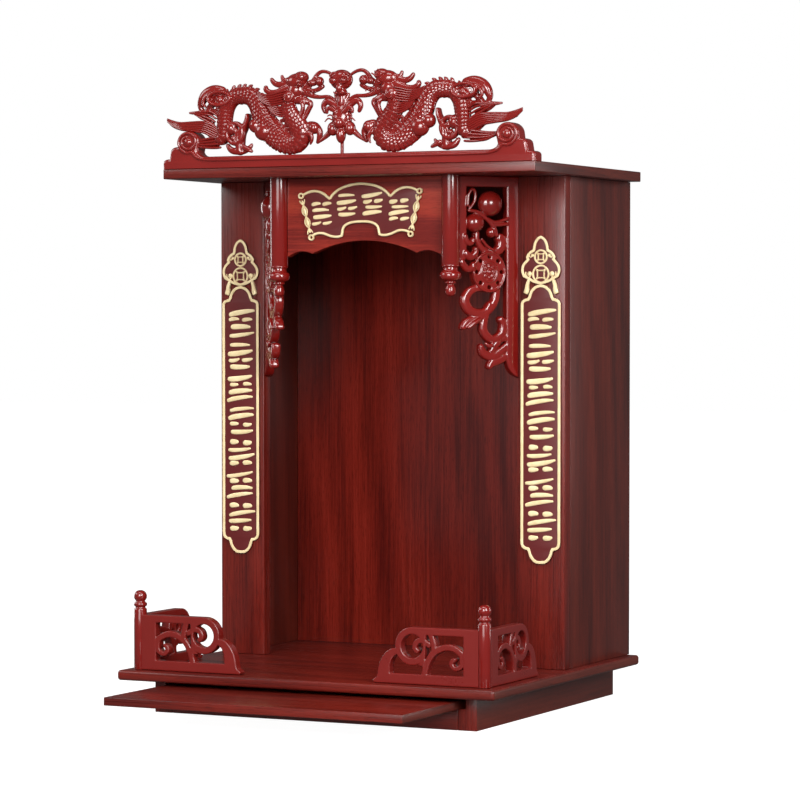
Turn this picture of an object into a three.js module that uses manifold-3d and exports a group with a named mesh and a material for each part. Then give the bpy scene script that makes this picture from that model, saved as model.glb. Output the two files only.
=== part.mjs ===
// Household altar cabinet: an open-fronted cabinet on a plinth, with a pull-out offering
// shelf, a railed forecourt, a hanging arched header with corner brackets, two couplet
// boards and a crest of two dragons.
// Millimetres. +X to the right as one faces the cabinet, +Y to its back, +Z up.
// The origin is on the ground, under the middle of the whole cabinet.
import * as THREE from 'three';
import { mergeVertices } from 'three/addons/utils/BufferGeometryUtils.js';
import Module from 'manifold-3d';

const wasm = await Module();
wasm.setup();

// ---------------------------------------------------------------- driving dimensions
const gap = 0.3;              // between touching pieces
const boardThick = 15;        // carcass boards
const cabinetBack = 345;      // every carcass piece ends here
const boardWidth = 610;       // deck and top board

const plinthHeight = 48.2;
const plinthWidth = 523;
const plinthFront = -158;
const plinthSideWide = 29.5;  // below the shelf's runner ledge
const plinthSideThin = 17.7;  // beside the shelf
const ledgeHeight = 30.3;

const shelfWidth = 473;
const shelfThick = 12;
const shelfFront = -345;
const shelfLength = 440;

const deckFront = -195;
const bodyWidth = 576;
const bodyFront = 91;
const bodyHeight = 725.6;
const stileWidth = 74.4;
const stileThick = 21;
const backInset = 17.5;

const topFront = -56;

const headerHalf = 128.2;
const headerFront = 8.5;
const plaqueShift = -4;       // the plaque hangs a little off centre
const plaqueTilt = 1.2;       // and leans down to the left, degrees

const pendantX = 142;
const pendantY = 8;
const pendantRadius = 13.5;

const bracketOut = new THREE.Vector2(213.3, 91);   // front corner against the stile
const bracketAngle = 51;                           // from the cabinet's front, degrees
const bracketThick = 15;

const postX = 279;
const postY = -170;
const postRadius = 9.5;
const railHeight = 81;
const railThick = 15;

const coupletX = 251.5;
const coupletHalf = 31.8;
const coupletThick = 4;
const reliefThick = 1.5;      // raised bands and strokes on the boards
const bandWidth = 4.2;

const crestRailDepth = 28;
const crestRailHeight = 17.2;
const crestFront = -58;
const carvingY = -47;         // middle plane of the dragon carving
const carvingShift = -7.5;    // the carving stands a little off centre

const deckTop = plinthHeight + gap + boardThick;
const bodyBottom = deckTop + gap;
const topUnderside = bodyBottom + bodyHeight + gap;
const topSurface = topUnderside + boardThick;
const shelfBottom = ledgeHeight + gap;
const crestTop = topSurface + gap + crestRailHeight;

const rad = THREE.MathUtils.degToRad;

// ---------------------------------------------------------------- solids
// A three.js geometry made one closed solid: shared vertices merged, slivers dropped.
function solidOf(geometry) {
  const bare = geometry.clone();
  bare.deleteAttribute('normal');
  bare.deleteAttribute('uv');
  const merged = mergeVertices(bare, 1e-4);
  const index = merged.index.array;
  const corners = [];
  for (let i = 0; i < index.length; i += 3) {
    const [a, b, c] = [index[i], index[i + 1], index[i + 2]];
    if (a !== b && b !== c && c !== a) corners.push(a, b, c);
  }
  return new wasm.Manifold(new wasm.Mesh({
    numProp: 3,
    vertProperties: Float32Array.from(merged.attributes.position.array),
    triVerts: Uint32Array.from(corners),
  }));
}

function joined(solids) {
  return solids.reduce((whole, solid) => whole.add(solid));
}

function geometryOf(solid) {
  const { vertProperties, triVerts } = solid.getMesh();
  const geometry = new THREE.BufferGeometry();
  geometry.setAttribute('position', new THREE.BufferAttribute(Float32Array.from(vertProperties), 3));
  geometry.setIndex(new THREE.BufferAttribute(Uint32Array.from(triVerts), 1));
  geometry.computeVertexNormals();
  return geometry;
}

// The same geometry seen in a mirror across the YZ plane.
function mirrored(geometry) {
  const twin = mergeVertices(geometry.clone().scale(-1, 1, 1));
  const index = twin.index.array;
  for (let i = 0; i < index.length; i += 3) [index[i], index[i + 1]] = [index[i + 1], index[i]];
  return twin;
}

// ---------------------------------------------------------------- outlines
// Points run as [x, z]; arcs are ellipse arcs in degrees, bows are quadratic curves.
function arc(cx, cz, rx, rz, from, to, steps) {
  return Array.from({ length: steps + 1 }, (_, i) => {
    const angle = rad(from + ((to - from) * i) / steps);
    return [cx + rx * Math.cos(angle), cz + rz * Math.sin(angle)];
  });
}

function bow(start, pull, end, steps) {
  const curve = new THREE.QuadraticBezierCurve(
    new THREE.Vector2(...start), new THREE.Vector2(...pull), new THREE.Vector2(...end));
  return curve.getPoints(steps).map((p) => [p.x, p.y]);
}

// A half outline, bottom to top on the right, closed with its mirror image on the left.
function bothSides(half) {
  const left = half.filter(([x]) => x > 1e-6).map(([x, z]) => [-x, z]).reverse();
  return [...half, ...left];
}

// The outline moved inwards by a distance, with mitred corners.
function inset(points, distance) {
  const count = points.length;
  const inward = points.map((point, i) => {
    const next = points[(i + 1) % count];
    return new THREE.Vector2(point[1] - next[1], next[0] - point[0]).normalize();
  });
  return points.map((point, i) => {
    const before = inward[(i + count - 1) % count];
    const mitre = before.clone().add(inward[i]).multiplyScalar(distance / (1 + before.dot(inward[i])));
    return [point[0] + mitre.x, point[1] + mitre.y];
  });
}

function shapeOf(points) {
  return new THREE.Shape(points.map(([x, z]) => new THREE.Vector2(x, z)));
}

// An outline in the XZ plane given thickness from y = back towards the front, with its
// holes cut right through.
function plate(points, back, thickness, { holes = [], bevel = 0 } = {}) {
  const geometry = new THREE.ExtrudeGeometry(shapeOf(points), {
    depth: thickness - 2 * bevel,
    bevelEnabled: bevel > 0,
    bevelThickness: bevel,
    bevelSize: bevel,
    bevelOffset: -bevel,
    bevelSegments: 1,
  });
  geometry.rotateX(Math.PI / 2);
  geometry.translate(0, back - bevel, 0);
  const solid = solidOf(geometry);
  return holes.reduce((rest, hole) => rest.subtract(plate(hole, back + 1, thickness + 2)), solid);
}

// A board lying flat, with a rounded or eased front edge, centred in x.
function flatBoard(width, front, back, thickness, edge) {
  const half = thickness / 2;
  const round = Math.min(edge, half);
  const profile = [
    [back, 0], [back, thickness],
    ...arc(front + round, thickness - round, round, round, 90, 180, 4),
    ...arc(front + round, round, round, round, 180, 270, 4),
  ];
  const geometry = new THREE.ExtrudeGeometry(shapeOf(profile), { depth: width, bevelEnabled: false });
  geometry.rotateX(Math.PI / 2);
  geometry.rotateZ(Math.PI / 2);
  geometry.translate(-width / 2, 0, 0);
  return solidOf(geometry);
}

function block(width, depth, height) {
  return new THREE.BoxGeometry(width, depth, height);
}

// A turned piece: a profile of [radius, z] from its foot to its head, on the Z axis.
function turned(profile, sides) {
  const points = profile.map(([r, z]) => new THREE.Vector2(r, z));
  const geometry = new THREE.LatheGeometry(points, sides);
  geometry.rotateX(Math.PI / 2);
  return solidOf(geometry);
}

// What is cut from a carving so that it clears a round shaft standing at (x, y).
function shaftClearance(radius, x, y, height) {
  const sides = 16;
  const outer = (radius + gap) / Math.cos(Math.PI / sides);
  const shaft = new THREE.CylinderGeometry(outer, outer, 2 * height, sides);
  return shaft.rotateX(Math.PI / 2).translate(x, y, 0);
}

function ball(x, y, z, rx, ry, rz, sides = 8, rings = 6) {
  const geometry = new THREE.SphereGeometry(1, sides, rings);
  geometry.rotateX(Math.PI / 2);
  geometry.scale(rx, ry, rz);
  geometry.translate(x, y, z);
  return solidOf(geometry);
}

// A carved stroke: a tapering bar along a curve through points [x, z, half width, y].
// Its section runs from round (square = 1) to nearly rectangular (square = 0.4), and its
// rings lie closer together towards the rounded ends.
function stroke(points, { y = 0, depth = 0.8, thick = 0, sides = 6, rings = 6, square = 1 } = {}) {
  const path = new THREE.CatmullRomCurve3(
    points.map(([x, z, , dy = 0]) => new THREE.Vector3(x, y + dy, z)));
  const widths = new THREE.CatmullRomCurve3(points.map(([, , r]) => new THREE.Vector3(r, 0, 0)));
  const geometry = new THREE.SphereGeometry(1, sides, rings, Math.PI / sides);
  const position = geometry.attributes.position;
  const place = new THREE.Vector3();
  const soften = (value) => Math.sign(value) * Math.abs(value) ** square;
  for (let i = 0; i < position.count; i += 1) {
    place.fromBufferAttribute(position, i);
    const pole = THREE.MathUtils.clamp(place.y, -1, 1);
    const t = (Math.acos(pole) / Math.PI + (1 - pole) / 2) / 2;
    const ring = Math.hypot(place.x, place.z);
    const centre = path.getPoint(t);
    if (ring > 1e-4) {
      const along = path.getTangent(t);
      const half = widths.getPoint(t).x;
      const sideways = soften(place.x / ring) * half;
      const frontwards = soften(place.z / ring) * (thick || half * depth);
      const flat = Math.hypot(along.x, along.z) || 1;
      centre.x -= (along.z / flat) * sideways;
      centre.z += (along.x / flat) * sideways;
      centre.y -= frontwards;
    }
    position.setXYZ(i, centre.x, centre.y, centre.z);
  }
  return solidOf(geometry);
}

// A spiral stroke that winds in to its middle.
function volute(cx, cz, outer, inner, start, turns, half, options) {
  const steps = Math.round(turns * 8);
  const points = Array.from({ length: steps + 1 }, (_, i) => {
    const t = i / steps;
    const radius = outer + (inner - outer) * t;
    const angle = rad(start + turns * 360 * t);
    return [cx + radius * Math.cos(angle), cz + radius * Math.sin(angle), half * (1 - 0.35 * t)];
  });
  return stroke(points, { rings: steps, ...options });
}

// ---------------------------------------------------------------- finishes
function finish(color, roughness) {
  return () => new THREE.MeshStandardMaterial({ color, roughness, metalness: 0 });
}
const veneer = finish(0x74231d, 0.4);
const lacquer = finish(0x741511, 0.2);
const gilded = finish(0xe8c98e, 0.5);

// ---------------------------------------------------------------- assembly
const cabinet = new THREE.Group();
cabinet.name = 'household_altar_cabinet';

function add(name, material, geometry, x = 0, y = 0, z = 0, turn = 0) {
  const mesh = new THREE.Mesh(geometry, material());
  mesh.name = name;
  mesh.position.set(x, y, z);
  mesh.rotation.z = turn;
  cabinet.add(mesh);
}

// A piece on the +X side and its mirror image on the -X side.
function addPair(name, material, geometry, x, y, z, turn = 0) {
  add(`${name}_right`, material, geometry, x, y, z, turn);
  add(`${name}_left`, material, mirrored(geometry), -x, y, z, -turn);
}

// ---------------------------------------------------------------- plinth and shelf
function plinthSide() {
  const ledge = plinthSideWide - plinthSideThin;
  const section = [
    [0, 0], [plinthSideWide, 0], [plinthSideWide, plinthHeight],
    [ledge, plinthHeight], [ledge, ledgeHeight], [0, ledgeHeight],
  ];
  return geometryOf(plate(section, 0, cabinetBack - plinthFront));
}

function addPlinth() {
  const inner = plinthWidth / 2 - plinthSideWide;
  const crossWidth = 2 * (inner - gap);
  addPair('plinth_side', veneer, plinthSide(), inner, cabinetBack, 0);
  add('plinth_front_board', veneer, block(crossWidth, boardThick, ledgeHeight),
    0, plinthFront + boardThick / 2, ledgeHeight / 2);
  add('plinth_back_board', veneer, block(crossWidth, boardThick, plinthHeight),
    0, cabinetBack - boardThick / 2, plinthHeight / 2);
}

function addShelf() {
  const shelf = flatBoard(shelfWidth, 0, shelfLength, shelfThick, 1.5);
  add('offering_shelf', veneer, geometryOf(shelf), 0, shelfFront, shelfBottom);
}

// ---------------------------------------------------------------- carcass
function addCarcass() {
  const sideDepth = cabinetBack - bodyFront - stileThick - gap;
  const sideX = bodyWidth / 2 - boardThick / 2;
  const stileX = bodyWidth / 2 - stileWidth / 2;
  const middle = bodyBottom + bodyHeight / 2;
  add('deck_board', veneer,
    geometryOf(flatBoard(boardWidth, deckFront, cabinetBack, boardThick, 7)), 0, 0, deckTop - boardThick);
  addPair('cabinet_side', veneer, block(boardThick, sideDepth, bodyHeight),
    sideX, cabinetBack - sideDepth / 2, middle);
  addPair('front_stile', veneer, block(stileWidth, stileThick, bodyHeight),
    stileX, bodyFront + stileThick / 2, middle);
  add('back_panel', veneer, block(bodyWidth - 2 * (boardThick + gap), boardThick, bodyHeight),
    0, cabinetBack - backInset - boardThick / 2, middle);
  add('top_board', veneer,
    geometryOf(flatBoard(boardWidth, topFront, cabinetBack, boardThick, 1.5)), 0, 0, topUnderside);
}

// ---------------------------------------------------------------- header and plaque
// The apron hangs from the top board; its lower edge is a wide arch between two small ones.
function addHeader() {
  const top = topUnderside - gap;
  const apex = 695.8;
  const cusp = [86, 677.2];
  const endFoot = 672.5;
  const radius = (cusp[0] ** 2 + (apex - cusp[1]) ** 2) / (2 * (apex - cusp[1]));
  const spread = THREE.MathUtils.radToDeg(Math.asin(cusp[0] / radius));
  const half = [
    ...arc(0, apex - radius, radius, radius, 90, 90 - spread, 8),
    ...bow([cusp[0] + 1, cusp[1]], [108, 686], [headerHalf, endFoot], 4),
    [headerHalf, top], [0, top],
  ];
  const left = half.filter(([x]) => x > 1e-3).map(([x, z]) => [-x, z]).reverse();
  const outline = [...half, ...left];
  add('header_board', veneer, geometryOf(plate(outline, headerFront + boardThick, boardThick)));
}

// Shallow brush dabs in the place of one written sign: short tapering bars in rows.
function dabs(cx, cz, width, height, seed, back) {
  const rows = 2;
  return Array.from({ length: rows }, (_, i) => {
    const wave = Math.sin(seed * 2.3 + i * 1.9);
    const length = width * (0.62 + 0.3 * Math.abs(wave));
    const bar = new THREE.BoxGeometry(length, reliefThick + 0.6, height * 0.2);
    bar.rotateY(rad(12 * wave + (i % 2 ? -14 : 8)));
    const x = cx + width * 0.12 * Math.cos(seed + i * 2.1);
    const z = cz + height * (0.25 - 0.5 * i);
    bar.translate(x, back - (reliefThick - 0.6) / 2, z);
    return solidOf(bar);
  });
}

function addPlaque() {
  const half = [
    [0, 723],
    ...bow([12, 723], [29, 721], [31, 714], 2),
    ...bow([33, 704.5], [42, 702], [52, 706], 2),
    ...bow([62, 713], [72, 711], [82.2, 703], 2),
    [98.1, 765.2],
    ...bow([86, 770], [72, 774], [60, 767], 2),
    ...bow([53.6, 763.5], [38, 777], [18, 780.5], 2),
    [0, 781.7],
  ];
  const outline = bothSides(half);
  const band = bandWidth * 0.9;
  const front = -coupletThick;
  const pieces = [
    plate(outline, 0, coupletThick),
    plate(outline, front + 0.5, reliefThick + 0.5, { holes: [inset(outline, band)] }),
  ];
  for (const side of [-1, 1]) {
    pieces.push(plate(arc(side * 98.1, 765.2, 4.6, 4.6, 0, 300, 5), 0, coupletThick + reliefThick));
    pieces.push(plate(arc(side * 82.2, 702.9, 4.6, 4.6, 0, 300, 5), 0, coupletThick + reliefThick));
  }
  [[-62, 737], [-21, 750], [21, 750], [62, 738]].forEach(([x, z], i) => {
    pieces.push(...dabs(x, z, 28, 40, i + 1, front));
  });
  const solid = joined(pieces);
  const geometry = geometryOf(solid);
  const middle = 742;
  geometry.translate(0, 0, -middle);
  geometry.rotateY(rad(-plaqueTilt));
  add('header_plaque', gilded, geometry, plaqueShift, headerFront - gap, middle);
}

// ---------------------------------------------------------------- pendants and brackets
function addPendants() {
  const profile = [
    [0, 613], [6, 614.6], [8, 619.5], [4.8, 627], [9, 631], [11.6, 636], [15.2, 639.5],
    [15.2, 644.5], [11, 649.5], [12.6, 653.5], [11, 656.8], [pendantRadius, 658.6],
    [pendantRadius, topUnderside - gap], [0, topUnderside - gap],
  ];
  addPair('pendant', lacquer, geometryOf(turned(profile, 12)), pendantX, pendantY, 0);
}

// One pierced carving, drawn with x running out to the stile and z down from the board.
function bracketSolid() {
  const frame = [
    [14, -gap], [14, -292],
    ...arc(-9, -284, 11, 14, -60, -180, 4),
    [-19, -16.5], [-84, -16.5], [-84, -118],
    ...arc(-90, -118, 6, 9, 0, -90, 3),
    [-104, -127], [-104, -gap],
  ];
  const mid = bracketThick / 2;
  const bar = { y: mid, thick: mid - 0.6, square: 0.35, sides: 4, rings: 4 };
  const relief = { y: 4, thick: 6, square: 0.5, sides: 4, rings: 3 };
  const carving = [
    ball(-50, 3, -41.5, 17.6, 9.5, 18.5, 8, 5),
    ball(-70, 3.5, -69, 13.5, 8.5, 12.5, 6, 4),
    ball(-47, 3, -84, 7.5, 7.5, 8.5, 6, 4),
    // leaf loop beside the great fruit, and the twig that crosses below it
    stroke([[-84, -46, 2.6], [-81, -24, 2.8], [-74, -20, 3], [-71, -34, 3], [-80, -48, 2.6]],
      { ...relief, rings: 5 }),
    stroke([[-84, -50, 3], [-66, -54, 3], [-50, -67, 3.2], [-40, -80, 4.5], [-38, -92, 2.5]], relief),
    stroke([[-52, -66, 3], [-36, -68, 3.4], [-16, -63, 4]], relief),
    // crook that hangs between the small fruit and the wheel
    stroke([[-70, -76, 3.6], [-70, -92, 4], [-58, -108, 4.6], [-40, -112, 5], [-27, -105, 6],
      [-27, -91, 6.6], [-38, -88, 4]], { ...bar, rings: 7 }),
    stroke([[-86, -84, 4], [-82, -97, 4.4], [-74, -98, 3]], relief),
    stroke([[-88, -110, 5], [-78, -118, 5], [-70, -112, 4.4], [-72, -104, 3]], relief),
    stroke([[-94, -120, 5], [-84, -133, 4.6], [-74, -130, 4]], relief),
    // scrolls below the wheel
    stroke([[-33, -160, 5], [-38, -184, 5.4], [-54, -200, 5.8], [-74, -198, 6], [-83, -184, 6],
      [-76, -171, 5.4], [-64, -168, 4]], { ...bar, rings: 7 }),
    stroke([[-91, -224, 2.4], [-80, -218, 5.4], [-66, -212, 5.6], [-50, -204, 5]], bar),
    stroke([[-42, -186, 4.4], [-52, -206, 5], [-54.5, -226, 5], [-42, -238, 5], [-27, -232, 5],
      [-24, -218, 4.6], [-32, -208, 4]], { ...bar, rings: 7 }),
    stroke([[-30, -240, 4.6], [-20, -236, 4.6], [-12, -236, 4.6]], bar),
    stroke([[-57, -248, 3], [-53, -259, 5], [-40, -263, 5], [-26, -256, 5], [-14, -246, 5]], bar),
    stroke([[-47, -281, 2.4], [-40, -275, 4.6], [-28, -270, 5], [-14, -262, 5]], bar),
    stroke([[-27, -240, 5], [-38, -250, 5], [-44, -262, 4]], bar),
  ];
  const centre = [-47.5, -141];
  const spokes = 8;
  const holes = Array.from({ length: spokes }, (_, i) => {
    const angle = rad((360 * i) / spokes);
    const hx = centre[0] + 19.6 * Math.cos(angle);
    const hz = centre[1] + 22.4 * Math.sin(angle);
    return arc(hx, hz, 2.3, 2.5, 0, 270, 3);
  });
  const rim = arc(...centre, 27, 30.5, 0, 334, 13);
  const wheel = plate(rim, bracketThick - 1, bracketThick + 0.5, { holes });
  const rosette = ball(centre[0], 0.5, centre[1], 13.5, 3, 14.5, 8, 4);
  return joined([plate(frame, bracketThick, bracketThick), wheel, rosette, ...carving]);
}

function addBrackets() {
  const turn = rad(bracketAngle);
  const place = new THREE.Matrix4().makeRotationZ(turn);
  place.setPosition(bracketOut.x, bracketOut.y, topUnderside);
  const toLocal = place.clone().invert();
  const height = 700;
  const stile = block(200, 400, height).translate(bracketOut.x + 100, 100, topUnderside - height / 2);
  const shaft = shaftClearance(pendantRadius, pendantX, pendantY, topSurface);
  let solid = bracketSolid();
  solid = solid.subtract(solidOf(stile.applyMatrix4(toLocal)));
  solid = solid.subtract(solidOf(shaft.applyMatrix4(toLocal)));
  const parts = solid.decompose();
  parts.sort((a, b) => b.volume() - a.volume());
  addPair('corner_bracket', lacquer, geometryOf(parts[0]), bracketOut.x, bracketOut.y, topUnderside, turn);
}

// ---------------------------------------------------------------- couplet boards
function coupletGeometry() {
  const foot = 219.4;
  const panel = bothSides([
    [0, foot],
    ...bow([7, foot + 0.5], [17, foot + 5], [19.5, foot + 17], 2),
    ...bow([21, foot + 20], [31.8, foot + 21], [coupletHalf, foot + 32], 2),
    ...bow([coupletHalf, 601], [coupletHalf, 609], [21, 610.5], 2),
    ...bow([19.5, 613], [16, 629], [0, 630.8], 2),
  ]);
  const crown = bothSides([
    [0, 627], [6, 627],
    ...arc(0, 646, 14.6, 14.6, -60, -30, 1),
    ...bow([19, 637], [31, 640], [coupletHalf, 653], 2),
    ...bow([coupletHalf, 662], [28, 670], [23, 672], 2),
    ...bow([24, 682], [20, 687], [12, 686], 2),
    ...bow([11, 695], [7, 702.8], [0, 702.8], 2),
  ]);
  const front = -coupletThick;
  const raised = (outline) => plate(outline, front + 0.5, reliefThick + 0.5,
    { holes: [inset(outline, bandWidth)] });
  const coin = (z, radius, hole) => plate(arc(0, z, radius, radius, 0, 315, 7), front + 0.5,
    reliefThick + 0.5, { holes: [arc(0, z, hole, hole, 45, 315, 3)] });
  const pieces = [
    plate(panel, 0, coupletThick), plate(crown, 0, coupletThick), raised(panel), raised(crown),
    coin(671, 10.9, 3.4), coin(645.9, 14.1, 4.6),
  ];
  for (const side of [-1, 1]) {
    pieces.push(plate([[side * 21, 612.5], [side * 30.5, 613], [side * 29, 637], [side * 22, 640]],
      0, coupletThick + reliefThick));
    pieces.push(plate(arc(side * 19, 645, 6, 6, 0, 270, 3), front + 0.5, reliefThick + 0.5));
  }
  const signs = 7;
  const firstSign = 573;
  const pitch = 49.6;
  for (let i = 0; i < signs; i += 1) {
    pieces.push(...dabs(0, firstSign - i * pitch, 34, 40, i * 1.7 + 0.5, front));
  }
  return geometryOf(joined(pieces));
}

// ---------------------------------------------------------------- forecourt rails
function addPosts() {
  const profile = [
    [0, 0], [postRadius, 0], [postRadius, 89], [7.2, 91.5], [9.8, 94.5], [9.8, 97.5],
    [6.8, 101], [9.3, 105], [9.6, 109], [6.4, 114.4], [0, 116.5],
  ];
  addPair('rail_post', lacquer, geometryOf(turned(profile, 10)), postX, postY, bodyBottom);
}

// A fretwork band of even width along a curve, as thick as the rail.
function ribbon(points, half, steps, thickness) {
  const curve = new THREE.SplineCurve(points.map(([x, z]) => new THREE.Vector2(x, z)));
  const sides = [1, -1].map((side) => Array.from({ length: steps + 1 }, (_, i) => {
    const t = i / steps;
    const centre = curve.getPoint(t);
    const along = curve.getTangent(t);
    return [centre.x - side * along.y * half, centre.y + side * along.x * half];
  }));
  return plate([...sides[1], ...sides[0].reverse()], thickness / 2, thickness);
}

// A pierced rail, drawn from its post (x = 0) to its free end, z up from the deck.
function railSolid(start) {
  const ringAt = [110, 54];
  const outline = [
    [start, 0], [170.5, 0], [172, 4], [166, 8],
    ...arc(136, 8, 28.5, 42.5, 0, 90, 4).slice(1),
    ...arc(ringAt[0], ringAt[1], 26.5, railHeight - ringAt[1], 0, 90, 4),
    [start, railHeight],
  ];
  const vineHole = [[30, 14.5], [90, 14.5], [90, 30], [88, 70.3], [30, 70.3]];
  const ringHole = arc(ringAt[0], ringAt[1], 17, 17, 0, 320, 8);
  const footHole = [
    [92, 14.5], [145, 14.5], ...bow([144.5, 26], [142, 38], [134, 41.5], 3),
    ...arc(ringAt[0], ringAt[1], 26.5, 27, -36, -125, 3),
  ];
  const wide = 4.6;
  const t = railThick;
  const board = plate(outline, t / 2, t, { holes: [vineHole, ringHole, footHole] });
  return joined([
    board,
    ribbon([[91, 12], [89, 24], [85, 34], [76, 46], [60, 53.5], [46, 53], [34, 46], [28, 36]], wide, 6, t),
    ribbon([[33, 43], [33, 30], [42, 24.5], [49, 30], [46, 37], [41, 35]], 3.4, 4, t),
    ribbon([[76, 46], [77, 60], [83, 73]], 4.2, 2, t),
    ribbon([[82, 56], [94, 62], [103, 60], [106, 51], [99, 46]], 4.2, 4, t),
    ribbon([[84, 34], [92, 31], [100, 31]], wide, 2, t),
  ]).subtract(solidOf(shaftClearance(postRadius, 0, 0, 2 * railHeight)));
}

function addRails() {
  const cornerClear = railThick / 2 + gap;
  const long = geometryOf(railSolid(4.5));
  const sideways = geometryOf(railSolid(cornerClear));
  add('front_rail_left', lacquer, long, -postX, postY, bodyBottom);
  add('front_rail_right', lacquer, mirrored(long), postX, postY, bodyBottom);
  add('side_rail_left', lacquer, sideways, -postX, postY, bodyBottom, Math.PI / 2);
  add('side_rail_right', lacquer, sideways, postX, postY, bodyBottom, Math.PI / 2);
}

// ---------------------------------------------------------------- crest
// The moulded rail ends in stepped lobes, each side rising to a volute; z is up from its top.
const voluteEye = [261, 22];
function crestOutline() {
  const end = boardWidth / 2;
  const half = [
    [0, -crestRailHeight], [end, -crestRailHeight],
    ...bow([end, -9], [end, -2.5], [294, -2.5], 2),
    ...bow([292, 9], [290, 15.5], [280, 15.5], 2),
    ...arc(...voluteEye, 18, 16.5, 10, 200, 7),
    ...bow([246, 8], [244, 1], [232, 0], 2),
  ];
  const left = half.filter(([x]) => x > 1e-6).map(([x, z]) => [-x, z]).reverse();
  return [...half, ...left];
}

function addCrestRail() {
  const board = plate(crestOutline(), crestFront + crestRailDepth, crestRailDepth, { bevel: 2.4 });
  const curl = volute(...voluteEye, 14, 5, -120, 1.25, 3.2, { y: crestFront + 0.5, thick: 3.4, sides: 4 });
  const knob = ball(voluteEye[0], crestFront, voluteEye[1], 6, 5, 6, 6, 4);
  const relief = geometryOf(joined([curl, knob]));
  const whole = joined([board, solidOf(relief), solidOf(mirrored(relief))]);
  add('crest_rail', lacquer, geometryOf(whole), 0, 0, crestTop);
}

// The dragon's body, from the neck round under the chest, up over the arch and down to
// the tail: [x, z, half width], outwards from the crest's centre and up from its rail.
const dragonBody = [
  [88, 78, 10], [86, 61, 12.5], [76, 46, 14.5], [67, 31, 15.5], [74, 17, 14.5], [92, 16, 14.5],
  [110, 28, 17], [124, 42, 17], [133, 60, 15.5], [140, 76, 14], [151, 87, 13], [166, 89, 12.5],
  [181, 86, 12], [191, 75, 12], [195, 60, 11.5], [196, 44, 11], [198, 29, 10], [210, 21, 8],
];
const bodyDepth = 11;

function backFins() {
  const path = new THREE.CatmullRomCurve3(dragonBody.map(([x, z]) => new THREE.Vector3(x, 0, z)));
  const widths = new THREE.CatmullRomCurve3(dragonBody.map(([, , r]) => new THREE.Vector3(r, 0, 0)));
  const fins = 6;
  return Array.from({ length: fins }, (_, i) => {
    const t = 0.1 + (0.66 * i) / (fins - 1);
    const centre = path.getPoint(t);
    const along = path.getTangent(t);
    const out = widths.getPoint(t).x;
    const root = [centre.x - along.z * (out - 4), centre.z + along.x * (out - 4)];
    const tip = [
      centre.x - along.z * (out + 5) - along.x * 3,
      centre.z + along.x * (out + 5) - along.z * 3,
    ];
    return stroke([[...root, 4.5], [...tip, 1.2]], { depth: 0.9, sides: 3, rings: 2 });
  });
}

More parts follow.
